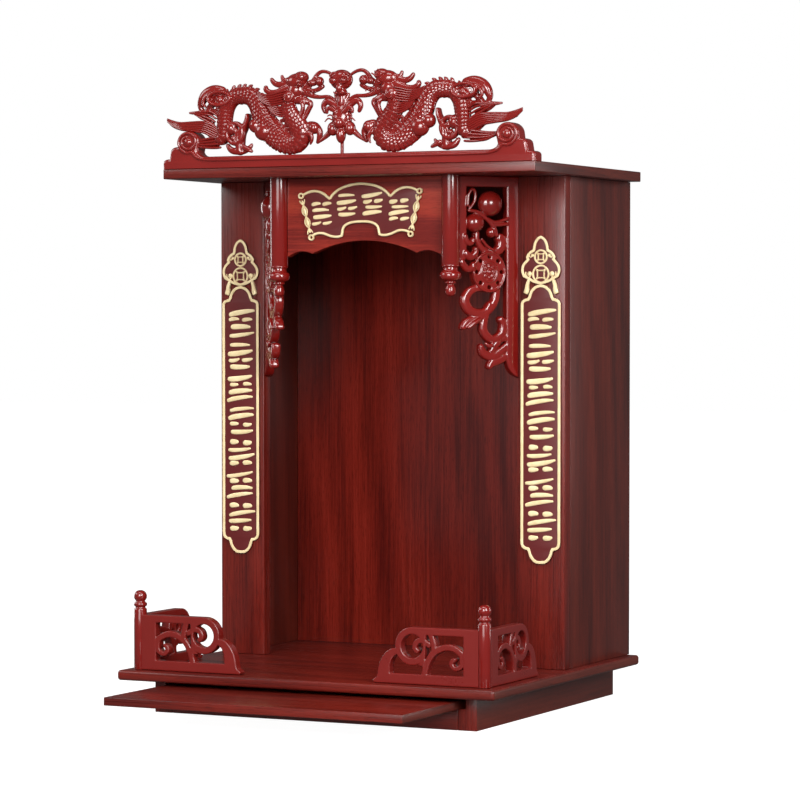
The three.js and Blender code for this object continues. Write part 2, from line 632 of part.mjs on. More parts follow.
function dragonSolid() {
  const body = stroke(dragonBody, { thick: bodyDepth, square: 0.75, sides: 6, rings: 14 });
  const soft = { depth: 0.9, square: 0.6, sides: 4, rings: 3 };
  const head = [
    ball(74, -1, 107, 17, 11, 12, 6, 4),
    ball(60.5, -1, 112, 6, 7, 5.5, 6, 4),
    ball(76, -1, 94, 13, 10, 12, 6, 4),
    ball(85, -2, 85, 11.5, 12, 11, 6, 4),
    stroke([[80, 80, 8], [66, 80, 6.5], [53, 75, 4]], { depth: 1, sides: 4, rings: 3 }),
    // lips and whiskers, out to the mask at the centre
    stroke([[12, 113, 3], [24, 119.5, 3.2], [34, 120.5, 3.2], [42, 115, 3.4], [48, 105, 4],
      [58, 98, 5], [70, 96, 6]], { ...soft, rings: 6 }),
    stroke([[10, 79, 3], [22, 83, 3.2], [36, 83, 3.4], [48, 85, 4], [60, 90, 5], [72, 92, 5]],
      { ...soft, rings: 6 }),
    ball(36.5, -1, 106, 7, 7, 7, 6, 4),
    stroke([[31, 101, 3.2], [38, 95.5, 3.8], [48, 94, 4], [60, 97, 5]], soft),
    // beard, closed into a loop under the jaw
    stroke([[56, 79, 5], [52, 72, 5], [58, 61, 5], [66, 50, 6]], soft),
    stroke([[82, 78, 6], [84, 66, 6], [80, 54, 6]], soft),
    // horns
    stroke([[84, 110, 5], [96, 109.5, 4], [101, 117.5, 2.2]], soft),
    stroke([[84, 104, 6], [100, 103.5, 4.8], [112, 105, 4.6], [118.5, 113.5, 3.4]], soft),
    stroke([[80, 100, 7], [98, 94, 5.4], [114, 93, 5.2], [124, 96, 5], [126.5, 102.5, 3.6]], soft),
    // mane locks
    stroke([[84, 86, 9], [102, 84, 9], [118, 83, 8], [137, 91, 5]],
      { thick: 12, square: 0.7, sides: 4, rings: 4 }),
    stroke([[86, 72, 8], [100, 66, 7.5], [112, 67, 6.5], [122, 76, 5]],
      { thick: 11, square: 0.7, sides: 4, rings: 3 }),
  ];
  const limbs = [
    // fore claw before the chest
    ball(45, -2, 38, 9, 9, 9, 6, 4),
    stroke([[60, 40, 8], [46, 41, 7], [37, 32, 6], [38, 23, 4.4], [42, 15, 2]], { ...soft, rings: 6 }),
    // hind leg and claw under the arch
    stroke([[157, 62.5, 2.6], [159.5, 51, 4], [167, 41, 6], [172, 28, 8], [171, 1, 8]],
      { thick: 9, square: 0.6, sides: 4, rings: 5 }),
    stroke([[182, 8, 6], [165, 7, 6], [154, 12, 4.4], [149.5, 18, 2.6]], soft),
    stroke([[162, 6, 6], [182, 9, 6], [192, 18, 4]], soft),
    ball(183, -2, 41, 10, 10, 11, 6, 4),
  ];
  const bowl = ball(199, -3, 85, 21, 12, 12.5, 10, 5)
    .subtract(ball(199, -16, 85, 17, 9, 9.5, 8, 4))
    .add(ball(200, -9, 84, 6, 5, 6, 6, 4));
  const tail = [
    bowl,
    stroke([[196, 95, 8], [214, 98, 9], [228, 93, 9], [235, 82, 8], [238, 69, 3]], { ...soft, rings: 6 }),
    stroke([[206, 68, 6], [232, 65.5, 5], [259, 66, 2.6]], soft),
    stroke([[206, 86, 6], [220, 74, 6], [232, 58, 5], [214, 46, 4]], soft),
    stroke([[205, 26, 8], [216, 34, 9], [229, 45, 8.5], [248, 47, 8], [266, 46.5, 6.6],
      [281, 47.5, 5], [291, 55, 2.6]], { thick: 8, square: 0.6, sides: 4, rings: 7 }),
    stroke([[204, 20, 8], [222, 22, 8], [238, 21, 7], [249, 22, 4]],
      { thick: 8, square: 0.6, sides: 4, rings: 4 }),
  ];
  return joined([body, ...backFins(), ...head, ...limbs, ...tail]);
}

// Between the dragons: a beast's mask over a spray of petals, on a short pin.
function maskSolid() {
  const soft = { depth: 0.9, square: 0.6, sides: 4, rings: 3 };
  const twice = (piece) => {
    const geometry = geometryOf(piece);
    return [solidOf(geometry), solidOf(mirrored(geometry))];
  };
  return joined([
    ball(0, -2, 107, 18.5, 12, 15.5, 10, 5),
    ball(0, -8, 96, 6.5, 7, 8, 6, 4),
    ball(0, -3, 90, 10, 8, 6, 6, 4),
    ...twice(ball(8, -11, 107, 6, 5, 6, 6, 4)),
    stroke([[0, 96, 8], [0, 84, 7.5], [0, 66, 11]], { ...soft, rings: 4 }),
    ...twice(stroke([[0, 62, 5], [6, 76, 5], [12, 88, 2.4]], soft)),
    ...twice(stroke([[2, 58, 7], [14, 72, 7], [26, 76, 6], [31, 68, 5], [27, 58, 3.6]],
      { ...soft, rings: 6 })),
    ball(0, 0, 52, 17, 11, 20, 8, 4),
    ball(-1, -10, 44, 9, 8, 9, 6, 4),
    ...twice(ball(14, -2, 36, 9, 9, 11, 6, 4)),
    ball(0, -4, 27, 8, 8, 13, 6, 4),
    ...twice(stroke([[12, 44, 5], [18, 34, 5], [26, 26, 4.4], [42, 15, 2]], soft)),
    stroke([[0, 20, 3], [0, 10, 2.6], [0, -4, 2.6]], soft),
  ]);
}

function addCarving() {
  const dragon = geometryOf(dragonSolid());
  const whole = joined([solidOf(dragon), solidOf(mirrored(dragon)), maskSolid()]);
  const footing = geometryOf(plate(inset(crestOutline(), -gap), 50, 100));
  footing.translate(-carvingShift, 0, 0);
  const parts = whole.subtract(solidOf(footing)).decompose();
  parts.sort((a, b) => b.volume() - a.volume());
  add('dragon_carving', lacquer, geometryOf(parts[0]), carvingShift, carvingY, crestTop);
}

// ---------------------------------------------------------------- the whole cabinet
addPlinth();
addShelf();
addCarcass();
addHeader();
addPlaque();
addPendants();
addBrackets();
addPair('couplet_board', gilded, coupletGeometry(), coupletX, bodyFront - gap, 0);
addPosts();
addRails();
addCrestRail();
addCarving();

export default cabinet;
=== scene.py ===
from math import asin, copysign, cos, degrees, pi, radians, sin, sqrt

import bmesh
import bpy
from mathutils import Matrix, Vector


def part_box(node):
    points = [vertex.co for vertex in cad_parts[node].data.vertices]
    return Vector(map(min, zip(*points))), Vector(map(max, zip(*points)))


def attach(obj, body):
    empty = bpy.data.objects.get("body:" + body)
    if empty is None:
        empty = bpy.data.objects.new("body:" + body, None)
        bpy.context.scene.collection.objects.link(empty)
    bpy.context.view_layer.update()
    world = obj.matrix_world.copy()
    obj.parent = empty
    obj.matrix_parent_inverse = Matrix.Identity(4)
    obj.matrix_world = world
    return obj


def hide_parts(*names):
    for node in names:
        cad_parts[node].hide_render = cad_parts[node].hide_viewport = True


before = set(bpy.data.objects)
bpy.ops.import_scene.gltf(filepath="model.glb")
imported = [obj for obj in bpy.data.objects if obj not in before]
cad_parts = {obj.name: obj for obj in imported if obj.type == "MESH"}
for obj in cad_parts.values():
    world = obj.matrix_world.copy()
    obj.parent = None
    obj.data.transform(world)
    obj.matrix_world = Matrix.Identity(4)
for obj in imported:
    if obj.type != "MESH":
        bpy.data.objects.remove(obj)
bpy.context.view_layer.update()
mm = 0.001
mirrorX = Matrix.Scale(-1, 4, (1, 0, 0))
print("frame loaded")

# camera first, so that the size of everything can be judged against it
cameraView = {"azimuth": 26.1207, "pitch": 2.1174, "target": (0, 0.130, 0.3965), "distance": 4.897,
    "lens": 145.27, "rise": 0.05}


def addCamera(view):
    turn, dip = radians(view["azimuth"]), radians(view["pitch"])
    back = Vector((sin(turn) * cos(dip), -cos(turn) * cos(dip), sin(dip)))
    bpy.ops.object.camera_add(
        location=Vector(view["target"]) + back * view["distance"], rotation=(pi / 2 - dip, 0, turn))
    camera = bpy.context.object
    camera.data.lens = view["lens"]
    camera.data.shift_y = view["rise"]
    bpy.context.scene.camera = camera


addCamera(cameraView)


# small tools for picking up, joining and finishing pieces
def deselectAll():
    if bpy.context.mode != "OBJECT":
        bpy.ops.object.mode_set(mode="OBJECT")
    bpy.ops.object.select_all(action="DESELECT")


def takeUp(*pieces):
    deselectAll()
    for piece in pieces:
        piece.select_set(True)
    bpy.context.view_layer.objects.active = pieces[0]


def editAll(piece):
    takeUp(piece)
    bpy.ops.object.mode_set(mode="EDIT")
    bpy.ops.mesh.select_all(action="SELECT")


def cutAway(piece, spot, outward):
    editAll(piece)
    bpy.ops.mesh.bisect(plane_co=spot, plane_no=outward, clear_outer=True, use_fill=True)
    bpy.ops.object.mode_set(mode="OBJECT")


def joinUp(name, pieces):
    takeUp(*pieces)
    if len(pieces) > 1:
        bpy.ops.object.join()
    pieces[0].name = name
    return pieces[0]


def modify(piece, kind, **settings):
    takeUp(piece)
    modifier = piece.modifiers.new(kind.title(), kind)
    for key, value in settings.items():
        setattr(modifier, key, value)
    bpy.ops.object.modifier_apply(modifier=modifier.name)


def copyOf(piece, name, place=None):
    twin = piece.copy()
    twin.data = piece.data.copy()
    twin.name = name
    bpy.context.scene.collection.objects.link(twin)
    if place:
        twin.data.transform(place)
        if place.determinant() < 0:
            twin.data.flip_normals()
    return twin


def dress(piece, nodes, finishes, bodyName="cabinet", smooth=None):
    if smooth:
        takeUp(piece)
        bpy.ops.object.shade_smooth_by_angle(angle=radians(smooth))
    if finishes:
        piece.data.materials.clear()
        for finish in finishes:
            piece.data.materials.append(finish)
    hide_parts(*nodes)
    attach(piece, bodyName)


def pieceFrom(name, mesh, place):
    data = bpy.data.meshes.new(name)
    mesh.to_mesh(data)
    mesh.free()
    data.transform(place)
    piece = bpy.data.objects.new(name, data)
    bpy.context.scene.collection.objects.link(piece)
    return piece


# outlines are lists of (x, z) in millimetres
def arc(cx, cz, rx, rz, start, end, steps):
    angles = [radians(start + (end - start) * i / steps) for i in range(steps + 1)]
    return [(cx + rx * cos(a), cz + rz * sin(a)) for a in angles]


def bow(start, pull, end, steps=8):
    def at(t):
        near, mid, far = (1 - t) ** 2, 2 * t * (1 - t), t * t
        return tuple(near * a + mid * b + far * c for a, b, c in zip(start, pull, end))

    return [at(i / steps) for i in range(steps + 1)]


def mirrorOutline(half):
    return half + [(-x, z) for x, z in reversed(half) if abs(x) > 1e-6]


def insetOutline(points, distance):
    # inward for an outline that runs anticlockwise
    count = len(points)
    inward = []
    for i, (x, z) in enumerate(points):
        nextX, nextZ = points[(i + 1) % count]
        inward.append(Vector((z - nextZ, nextX - x)).normalized())
    moved = []
    for i, (x, z) in enumerate(points):
        before, after = inward[i - 1], inward[i]
        mitre = (before + after) * (distance / max(0.35, 1 + before.dot(after)))
        moved.append((x + mitre.x, z + mitre.y))
    return moved


# drawing plane to the XZ plane
upright = Matrix(((mm, 0, 0, 0), (0, 0, -mm, 0), (0, mm, 0, 0), (0, 0, 0, 1)))
drawn = Matrix.Diagonal((mm, mm, mm, 1))  # millimetres to metres


def slab(name, outlines, back, thickness, ease=0.0, rounds=3):
    # a board with holes in its first outline, its edges rounded by ease; back is its rear y in mm
    curve = bpy.data.curves.new(name, "CURVE")
    curve.dimensions = "2D"
    curve.fill_mode = "BOTH"
    for outline in outlines:
        spline = curve.splines.new("POLY")
        spline.points.add(len(outline) - 1)
        for point, (x, z) in zip(spline.points, outline):
            point.co = (x, z, 0, 1)
        spline.use_cyclic_u = True
    curve.extrude = thickness / 2 - ease
    curve.bevel_depth = ease
    curve.bevel_resolution = rounds
    curve.offset = -ease
    piece = bpy.data.objects.new(name, curve)
    bpy.context.scene.collection.objects.link(piece)
    takeUp(piece)
    bpy.ops.object.convert(target="MESH")
    piece = bpy.context.object
    piece.data.transform(Matrix.Translation((0, 0, thickness / 2 - back)))
    piece.data.transform(upright)
    editAll(piece)
    bpy.ops.mesh.remove_doubles(threshold=0.00002)
    bpy.ops.mesh.normals_make_consistent(inside=False)
    bpy.ops.object.mode_set(mode="OBJECT")
    return piece


def smoothPath(points, step):
    # points are four-part vectors: place and half width
    ends = [points[0] * 2 - points[1], *points, points[-1] * 2 - points[-2]]
    path = []
    for a, b, c, d in zip(ends, ends[1:], ends[2:], ends[3:]):
        count = max(2, round((c - b).xyz.length / step))
        for k in range(count):
            t = k / count
            path.append(0.5 * (2 * b + (c - a) * t + (2 * a - 5 * b + 4 * c - d) * t**2
                + (3 * b - 3 * c + d - a) * t**3))
    return path + [points[-1]]


def sided(side, *points):
    return [(side * x, *rest) for x, *rest in points]


class Carving:
    # strokes and beads gathered in one mesh; x across, y back, z up, in millimetres
    def __init__(self):
        self.mesh = bmesh.new()

    def stroke(self, points, thick=None, flat=0.9, square=1.0, y=0.0, sides=12, step=2.5, blunt=1.0):
        # a bar along (x, z, half width, y shift), rounded off at both ends
        given = [Vector((p[0], y + (p[3] if len(p) > 3 else 0.0), p[1], p[2])) for p in points]
        path = smoothPath(given, step)
        lengths = [0.0]
        for before, after in zip(path, path[1:]):
            lengths.append(lengths[-1] + (after - before).xyz.length)
        total = lengths[-1]

        def at(s):
            for i in range(1, len(lengths)):
                if lengths[i] >= s or i == len(lengths) - 1:
                    span = lengths[i] - lengths[i - 1] or 1
                    return path[i - 1].lerp(path[i], (s - lengths[i - 1]) / span)

        first, last = max(path[0].w, 0.4) * blunt, max(path[-1].w, 0.4) * blunt
        curve = [1 - cos(radians(a)) for a in (18, 38, 60)]
        stations = [first * c for c in curve]
        count = max(2, round((total - first - last) / step))
        if total > first + last:
            stations += [first + (total - first - last) * i / count for i in range(count + 1)]
        else:
            stations.append(total / 2)
        stations += [total - last * c for c in reversed(curve)]
        rings = []
        for s in stations:
            here = at(s)
            along = (at(min(total, s + 0.5)).xyz - at(max(0.0, s - 0.5)).xyz).normalized()
            side = along.cross(Vector((0, 1, 0))).normalized()
            lift = side.cross(along)
            fade = 1.0
            if s < first:
                fade = sqrt(max(0.0, 1 - (1 - s / first) ** 2))
            elif total - s < last:
                fade = sqrt(max(0.0, 1 - (1 - (total - s) / last) ** 2))
            half = here.w * fade
            depth = (thick * fade if thick else half * flat)
            ring = []
            for k in range(sides):
                angle = 2 * pi * (k + 0.5) / sides
                across = copysign(abs(cos(angle)) ** square, cos(angle)) * half
                deep = copysign(abs(sin(angle)) ** square, sin(angle)) * depth
                ring.append(self.mesh.verts.new(here.xyz + side * across + lift * deep))
            rings.append(ring)
        tips = [self.mesh.verts.new(path[0].xyz), self.mesh.verts.new(path[-1].xyz)]
        faces = []
        for one, two in zip(rings, rings[1:]):
            for k in range(sides):
                after = (k + 1) % sides
                faces.append(self.mesh.faces.new((one[k], one[after], two[after], two[k])))
        for k in range(sides):
            faces.append(self.mesh.faces.new((rings[0][(k + 1) % sides], rings[0][k], tips[0])))
            faces.append(self.mesh.faces.new((rings[-1][k], rings[-1][(k + 1) % sides], tips[1])))
        bmesh.ops.recalc_face_normals(self.mesh, faces=faces)

    def strokes(self, *lines, **options):
        for points in lines:
            self.stroke(points, **options)

    def bead(self, x, y, z, rx, ry, rz, sides=16, rings=10):
        place = Matrix.Translation((x, y, z)) @ Matrix.Diagonal((rx, ry, rz, 1))
        bmesh.ops.create_uvsphere(self.mesh, u_segments=sides, v_segments=rings, radius=1, matrix=place)

    def piece(self, name):
        return pieceFrom(name, self.mesh, drawn)


def blend(name, parts, grain, softness=2, keep=1.0):
    # overlapping parts become one carved skin with soft inner corners
    piece = joinUp(name, parts)
    modify(piece, "REMESH", mode="VOXEL", voxel_size=grain * mm)
    if softness:
        modify(piece, "SMOOTH", factor=0.5, iterations=softness)
    if keep < 1:
        modify(piece, "DECIMATE", ratio=keep)
    return piece


def turned(name, profile, centre, sides=48):
    # discs drawn up one after another along a profile of (radius, z) from foot to head
    deselectAll()
    x, y, z = centre
    foot = profile[1]
    bpy.ops.mesh.primitive_circle_add(
        vertices=sides, radius=foot[0] * mm, fill_type="NGON", location=(x, y, z + foot[1] * mm))
    piece = bpy.context.object
    piece.name = name
    bpy.ops.object.transform_apply(location=True, rotation=True, scale=True)
    editAll(piece)
    for before, after in zip(profile[1:-2], profile[2:-1]):
        rise, grow = (after[1] - before[1]) * mm, after[0] / before[0]
        bpy.ops.mesh.extrude_region_move(TRANSFORM_OT_translate={"value": (0, 0, rise)})
        bpy.ops.transform.resize(value=(grow, grow, 1), center_override=(x, y, z + after[1] * mm))
    bpy.ops.mesh.select_all(action="SELECT")
    bpy.ops.mesh.normals_make_consistent(inside=False)
    bpy.ops.object.mode_set(mode="OBJECT")
    return piece


# shader sums are written as plain expressions on node outputs
class Wire:
    def __init__(self, finish, socket):
        self.finish = finish
        self.socket = socket

    def __add__(self, other):
        return self.finish.sum("ADD", self, other)

    def __sub__(self, other):
        return self.finish.sum("SUBTRACT", self, other)

    def __rsub__(self, other):
        return self.finish.sum("SUBTRACT", other, self)

    def __mul__(self, other):
        return self.finish.sum("MULTIPLY", self, other)

    __radd__ = __add__
    __rmul__ = __mul__


class Finish:
    def __init__(self, name):
        self.material = bpy.data.materials.new(name)
        self.material.use_nodes = True
        self.tree = self.material.node_tree
        self.shader = self.tree.nodes["Principled BSDF"]

    def add(self, kind, settings=None, values=None, out=0):
        node = self.tree.nodes.new(kind)
        for key, value in (settings or {}).items():
            if key == "stops":
                while len(node.color_ramp.elements) < len(value):
                    node.color_ramp.elements.new(0.5)
                for stop, (place, shade) in zip(node.color_ramp.elements, value):
                    stop.position = place
                    stop.color = (shade, shade, shade, 1) if isinstance(shade, float) else (*shade, 1)
            else:
                setattr(node, key, value)
        for key, value in (values or {}).items():
            self.feed(node.inputs[key], value)
        return Wire(self, node.outputs[out])

    def feed(self, socket, value):
        if isinstance(value, Wire):
            self.tree.links.new(value.socket, socket)
        else:
            socket.default_value = value

    def sum(self, how, one, two):
        return self.add("ShaderNodeMath", {"operation": how}, {0: one, 1: two})

    def place(self, scale=(1, 1, 1)):
        spot = self.add("ShaderNodeTexCoord", out="Object")
        return self.add("ShaderNodeMapping", {}, {"Vector": spot, "Scale": scale})

    def noise(self, spot, scale, detail=2.0, rough=0.5, warp=0.0):
        return self.add("ShaderNodeTexNoise", {}, {"Vector": spot, "Scale": scale, "Detail": detail,
            "Roughness": rough, "Distortion": warp})

    def ramp(self, value, *stops):
        return self.add("ShaderNodeValToRGB", {"stops": stops}, {"Fac": value})

    def mix(self, factor, one, two):
        one, two = [(*c, 1) if isinstance(c, tuple) and len(c) == 3 else c for c in (one, two)]
        return self.add("ShaderNodeMix", {"data_type": "RGBA"}, {0: factor, 6: one, 7: two}, out=2)

    def bump(self, height, strength, distance):
        return self.add(
            "ShaderNodeBump", {}, {"Height": height, "Strength": strength, "Distance": distance})

    def done(self, **sockets):
        for name, value in sockets.items():
            self.feed(self.shader.inputs[name.replace("_", " ")], value)
        return self.material


# wood veneer: fine pores and streaks along one axis, with slow broad figure under a satin varnish
veneerLook = {
    "light": (0.155, 0.0125, 0.0070), "mid": (0.112, 0.0078, 0.0042), "dark": (0.052, 0.0036, 0.0024)}


def veneer(name, along, figure=0.5, tone=1.0, gloss=0.24, look=veneerLook, brown=0.0):
    finish = Finish(name)
    shade3 = lambda key: tuple(c * tone * (1 + brown * k) for c, k in zip(look[key], (-0.1, 1.0, 1.0)))
    stretch = {"X": (0.022, 1, 1), "Y": (1, 0.022, 1), "Z": (1, 1, 0.022)}[along]
    fibre = finish.place(stretch)
    slow = finish.place(tuple(0.14 if s < 1 else 1 for s in stretch))
    streaks = finish.noise(fibre, 420, 3, 0.65)
    lines = finish.noise(fibre, 150, 2, 0.5)
    short = finish.place(tuple(0.05 if s < 1 else 1 for s in stretch))
    pores = finish.ramp(finish.noise(short, 1300, 2, 0.5), (0.34, 1.0), (0.44, 0.0))
    drift = finish.noise(slow, 6, 2, 0.5)
    bands = finish.noise(slow, 20, 3, 0.55, 0.6)
    rings = finish.add("ShaderNodeTexWave", {"wave_type": "BANDS", "bands_direction": "DIAGONAL"},
        {"Vector": slow, "Scale": 8, "Distortion": 8, "Detail": 2, "Detail Scale": 1.3})
    shade = streaks * 0.42 + lines * 0.26 + bands * 0.34 * figure + rings * 0.22 * figure
    shade = shade + drift * 0.32 - 0.02 - 0.28 * figure
    colour = finish.ramp(shade, (0.34, shade3("dark")), (0.50, shade3("mid")), (0.66, shade3("light")))
    colour = finish.mix(pores * 0.5, colour, tuple(c * 0.4 for c in shade3("dark")))
    relief = finish.bump(streaks * 0.4 - pores * 0.6, 0.10, 0.0002)
    return finish.done(Base_Color=colour, Roughness=streaks * 0.08 + gloss, Normal=relief)


# clear red lacquer over carved or turned wood, a little uneven in depth
def lacquer(name, light, dark, gloss=0.13, texture=0.05, coat=0.4):
    finish = Finish(name)
    spot = finish.place()
    cloud = finish.noise(spot, 14, 3, 0.55)
    skin = finish.noise(spot, 420, 2, 0.5)
    colour = finish.mix(cloud, dark, light)
    rough = cloud * 0.06 + skin * 0.03 + gloss
    relief = finish.bump(skin, texture, 0.0003)
    return finish.done(
        Base_Color=colour, Roughness=rough, Normal=relief, Coat_Weight=coat, Coat_Roughness=0.06)


# pale gold paint on the raised work
goldLook = {"light": (0.76, 0.63, 0.38), "dark": (0.62, 0.48, 0.25)}


def paleGold(name):
    finish = Finish(name)
    spot = finish.place()
    cloud = finish.noise(spot, 60, 3, 0.6)
    fleck = finish.noise(spot, 1600, 2, 0.6)
    worn = finish.ramp(cloud * 0.6 + fleck * 0.4, (0.35, 0.0), (0.65, 1.0))
    colour = finish.mix(worn, goldLook["dark"], goldLook["light"])
    relief = finish.bump(fleck, 0.12, 0.0002)
    return finish.done(Base_Color=colour, Metallic=0.10, Roughness=fleck * 0.16 + 0.34, Normal=relief)


# header veneer: brighter and more orange than the other boards, partly the board's own tone and partly a
# painted reflection of the light off its front face
headerToneAndPaintedSheen = {
    "light": (0.275, 0.0300, 0.0150), "mid": (0.225, 0.0185, 0.0105), "dark": (0.120, 0.0085, 0.0060)}
veneerUpright = veneer("veneerUpright", "Z", 0.4)
veneerBack = veneer("veneerBack", "Z", 0.55, 1.2, 0.20)
veneerSide = veneer("veneerSide", "Z", 0.5, 0.80, 0.26, brown=0.55)
veneerAcross = veneer("veneerAcross", "X", 0.5)
veneerDeep = veneer("veneerDeep", "Y", 0.4, 0.85, 0.30, brown=0.8)
# the header's veneer carries that painted reflection along with its own tone
veneerHeaderPaintedSheen = veneer("veneerHeaderPaintedSheen", "X", 1.3, 1.0, 0.20, headerToneAndPaintedSheen)
redLacquer = lacquer("redLacquer", (0.185, 0.0080, 0.0058), (0.120, 0.0042, 0.0032))
crestLacquer = lacquer("crestLacquer", (0.190, 0.0095, 0.0072), (0.120, 0.0050, 0.0040), 0.15)
railLacquer = lacquer("railLacquer", (0.165, 0.0090, 0.0062), (0.120, 0.0056, 0.0042), 0.24, 0.04, 0.2)
signGround = lacquer("signGround", (0.100, 0.0065, 0.0068), (0.076, 0.0042, 0.0046), 0.34, 0.04, 0.1)
signGold = paleGold("signGold")
print("finishes mixed")

# boards of the case
def bandEnds(board, axis, level=0.7):
    # faces that look along the axis take the second finish
    for face in board.data.polygons:
        face.material_index = 1 if abs(face.normal[axis]) > level else 0


def easedBoard(node, finish, ease=0.9, nose=0.0, bodyName="cabinet", ends=None):
    low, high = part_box(node)
    deselectAll()
    bpy.ops.mesh.primitive_cube_add(size=1, location=(low + high) / 2)
    board = bpy.context.object
    board.name = node + "Board"
    board.scale = high - low
    bpy.ops.object.transform_apply(location=True, rotation=True, scale=True)
    if nose:  # the front edge is rounded over
        for edge in board.data.edges:
            corners = [board.data.vertices[v].co for v in edge.vertices]
            atFront = all(abs(c.y - low.y) < 1e-5 for c in corners)
            edge.select = atFront and abs(corners[0].x - corners[1].x) > 0.01
        for face in board.data.polygons:
            face.select = False
        bpy.ops.object.mode_set(mode="EDIT")
        bpy.ops.mesh.select_mode(type="EDGE")
        bpy.ops.mesh.bevel(offset=nose * mm, segments=8, affect="EDGES")
        bpy.ops.mesh.select_mode(type="VERT")
        bpy.ops.object.mode_set(mode="OBJECT")
    modify(board, "BEVEL", width=ease * mm, segments=3, limit_method="ANGLE", angle_limit=radians(50))
    dress(board, [node], [finish, ends] if ends else [finish], bodyName, smooth=35)
    if ends:
        bandEnds(board, 0)
    return board


def easedCopy(node, finish, ease=0.9):
    board = copyOf(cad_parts[node], node + "Board")
    editAll(board)
    bpy.ops.mesh.remove_doubles(threshold=0.00001)
    bpy.ops.mesh.dissolve_limited(angle_limit=radians(1))
    bpy.ops.mesh.normals_make_consistent(inside=False)
    bpy.ops.object.mode_set(mode="OBJECT")
    modify(board, "BEVEL", width=ease * mm, segments=3, limit_method="ANGLE", angle_limit=radians(50))
    dress(board, [node], [finish, veneerUpright], smooth=35)
    bandEnds(board, 1)


for side in ("left", "right"):
    easedCopy("plinth_side_" + side, veneerDeep)
    easedBoard("cabinet_side_" + side, veneerSide, 0.5)
    easedBoard("front_stile_" + side, veneerUpright, 0.9)
easedBoard("plinth_front_board", veneerAcross)
easedBoard("plinth_back_board", veneerAcross)
easedBoard("offering_shelf", veneerAcross, 1.2, bodyName="shelf", ends=veneerDeep)
easedBoard("deck_board", veneerAcross, 0.9, nose=4.5, ends=veneerDeep)
easedBoard("back_panel", veneerBack, 0.4)
easedBoard("top_board", veneerAcross, 1.2, ends=veneerDeep)
print("case boards made")

# heights shared by the hanging and standing pieces, in millimetres
heights = {"deck": 64.1, "underTop": 789.5, "crest": 822.3}

# header board, its lower edge a wide arch between two small ones
headerBoard = {"half": 128.2, "apex": 695.8, "cusp": (86, 677.2), "foot": 672.5, "front": 8.5, "thick": 15,
    "ease": 1.0}


def makeHeader(look):
    (cuspX, cuspZ), apex = look["cusp"], look["apex"]
    radius = (cuspX**2 + (apex - cuspZ) ** 2) / (2 * (apex - cuspZ))
    spread = degrees(asin(cuspX / radius))
    half = arc(0, apex - radius, radius, radius, 90, 90 - spread, 24)
    half += bow((cuspX + 1, cuspZ), (108, 686), (look["half"], look["foot"]), 12)
    half.append((look["half"], heights["underTop"]))
    back = look["front"] + look["thick"]
    board = slab("headerBoard", [mirrorOutline(half)], back, look["thick"], look["ease"])
    dress(board, ["header_board"], [veneerHeaderPaintedSheen], smooth=35)


makeHeader(headerBoard)


# brush dabs in rows, where a sign would be written
def dabRows(wood, cx, cz, width, height, seed, front, rows=4, rise=1.4):
    pitch = height / rows
    for row in range(rows):
        wave = sin(seed * 2.3 + row * 1.9)
        z = cz + height / 2 - pitch * (row + 0.5)
        halves = 2 if (row + int(seed)) % 3 == 1 else 1
        for part in range(halves):
            reach = width * (0.88 + 0.12 * wave) / (2 * halves) - (1.2 if halves > 1 else 0)
            sway = width * 0.05 * cos(seed + row * 2.1) * (2 - halves)
            x = cx + (part - 0.5) * width * 0.5 * (halves - 1) + sway
            slope = 0.08 + 0.08 * wave
            heavy = pitch * (0.31 + 0.05 * cos(seed * 1.7 + row * 2.6))
            bend = 0.14 * pitch * sin(seed * 1.3 + row + part)
            points = []
            for t, lift, wide in ((-1, 0, 0.8), (-0.5, bend, 1.05), (0.4, bend, 0.9), (1, 0, 0.45)):
                points.append((x + t * reach, z + t * slope * reach + lift, heavy * wide))
            wood.stroke(points, thick=rise, y=front, square=0.7, sides=12, step=2.0)


signBoard = {"ground": 4.0, "relief": 1.5, "panelRim": 4.2, "crownRim": 3.8}
plaqueLook = {
    "shift": -4.0, "tilt": 1.2, "middle": 742, "front": 8.2, "corner": (98.1, 765.2), "foot": (82.2, 702.9)}


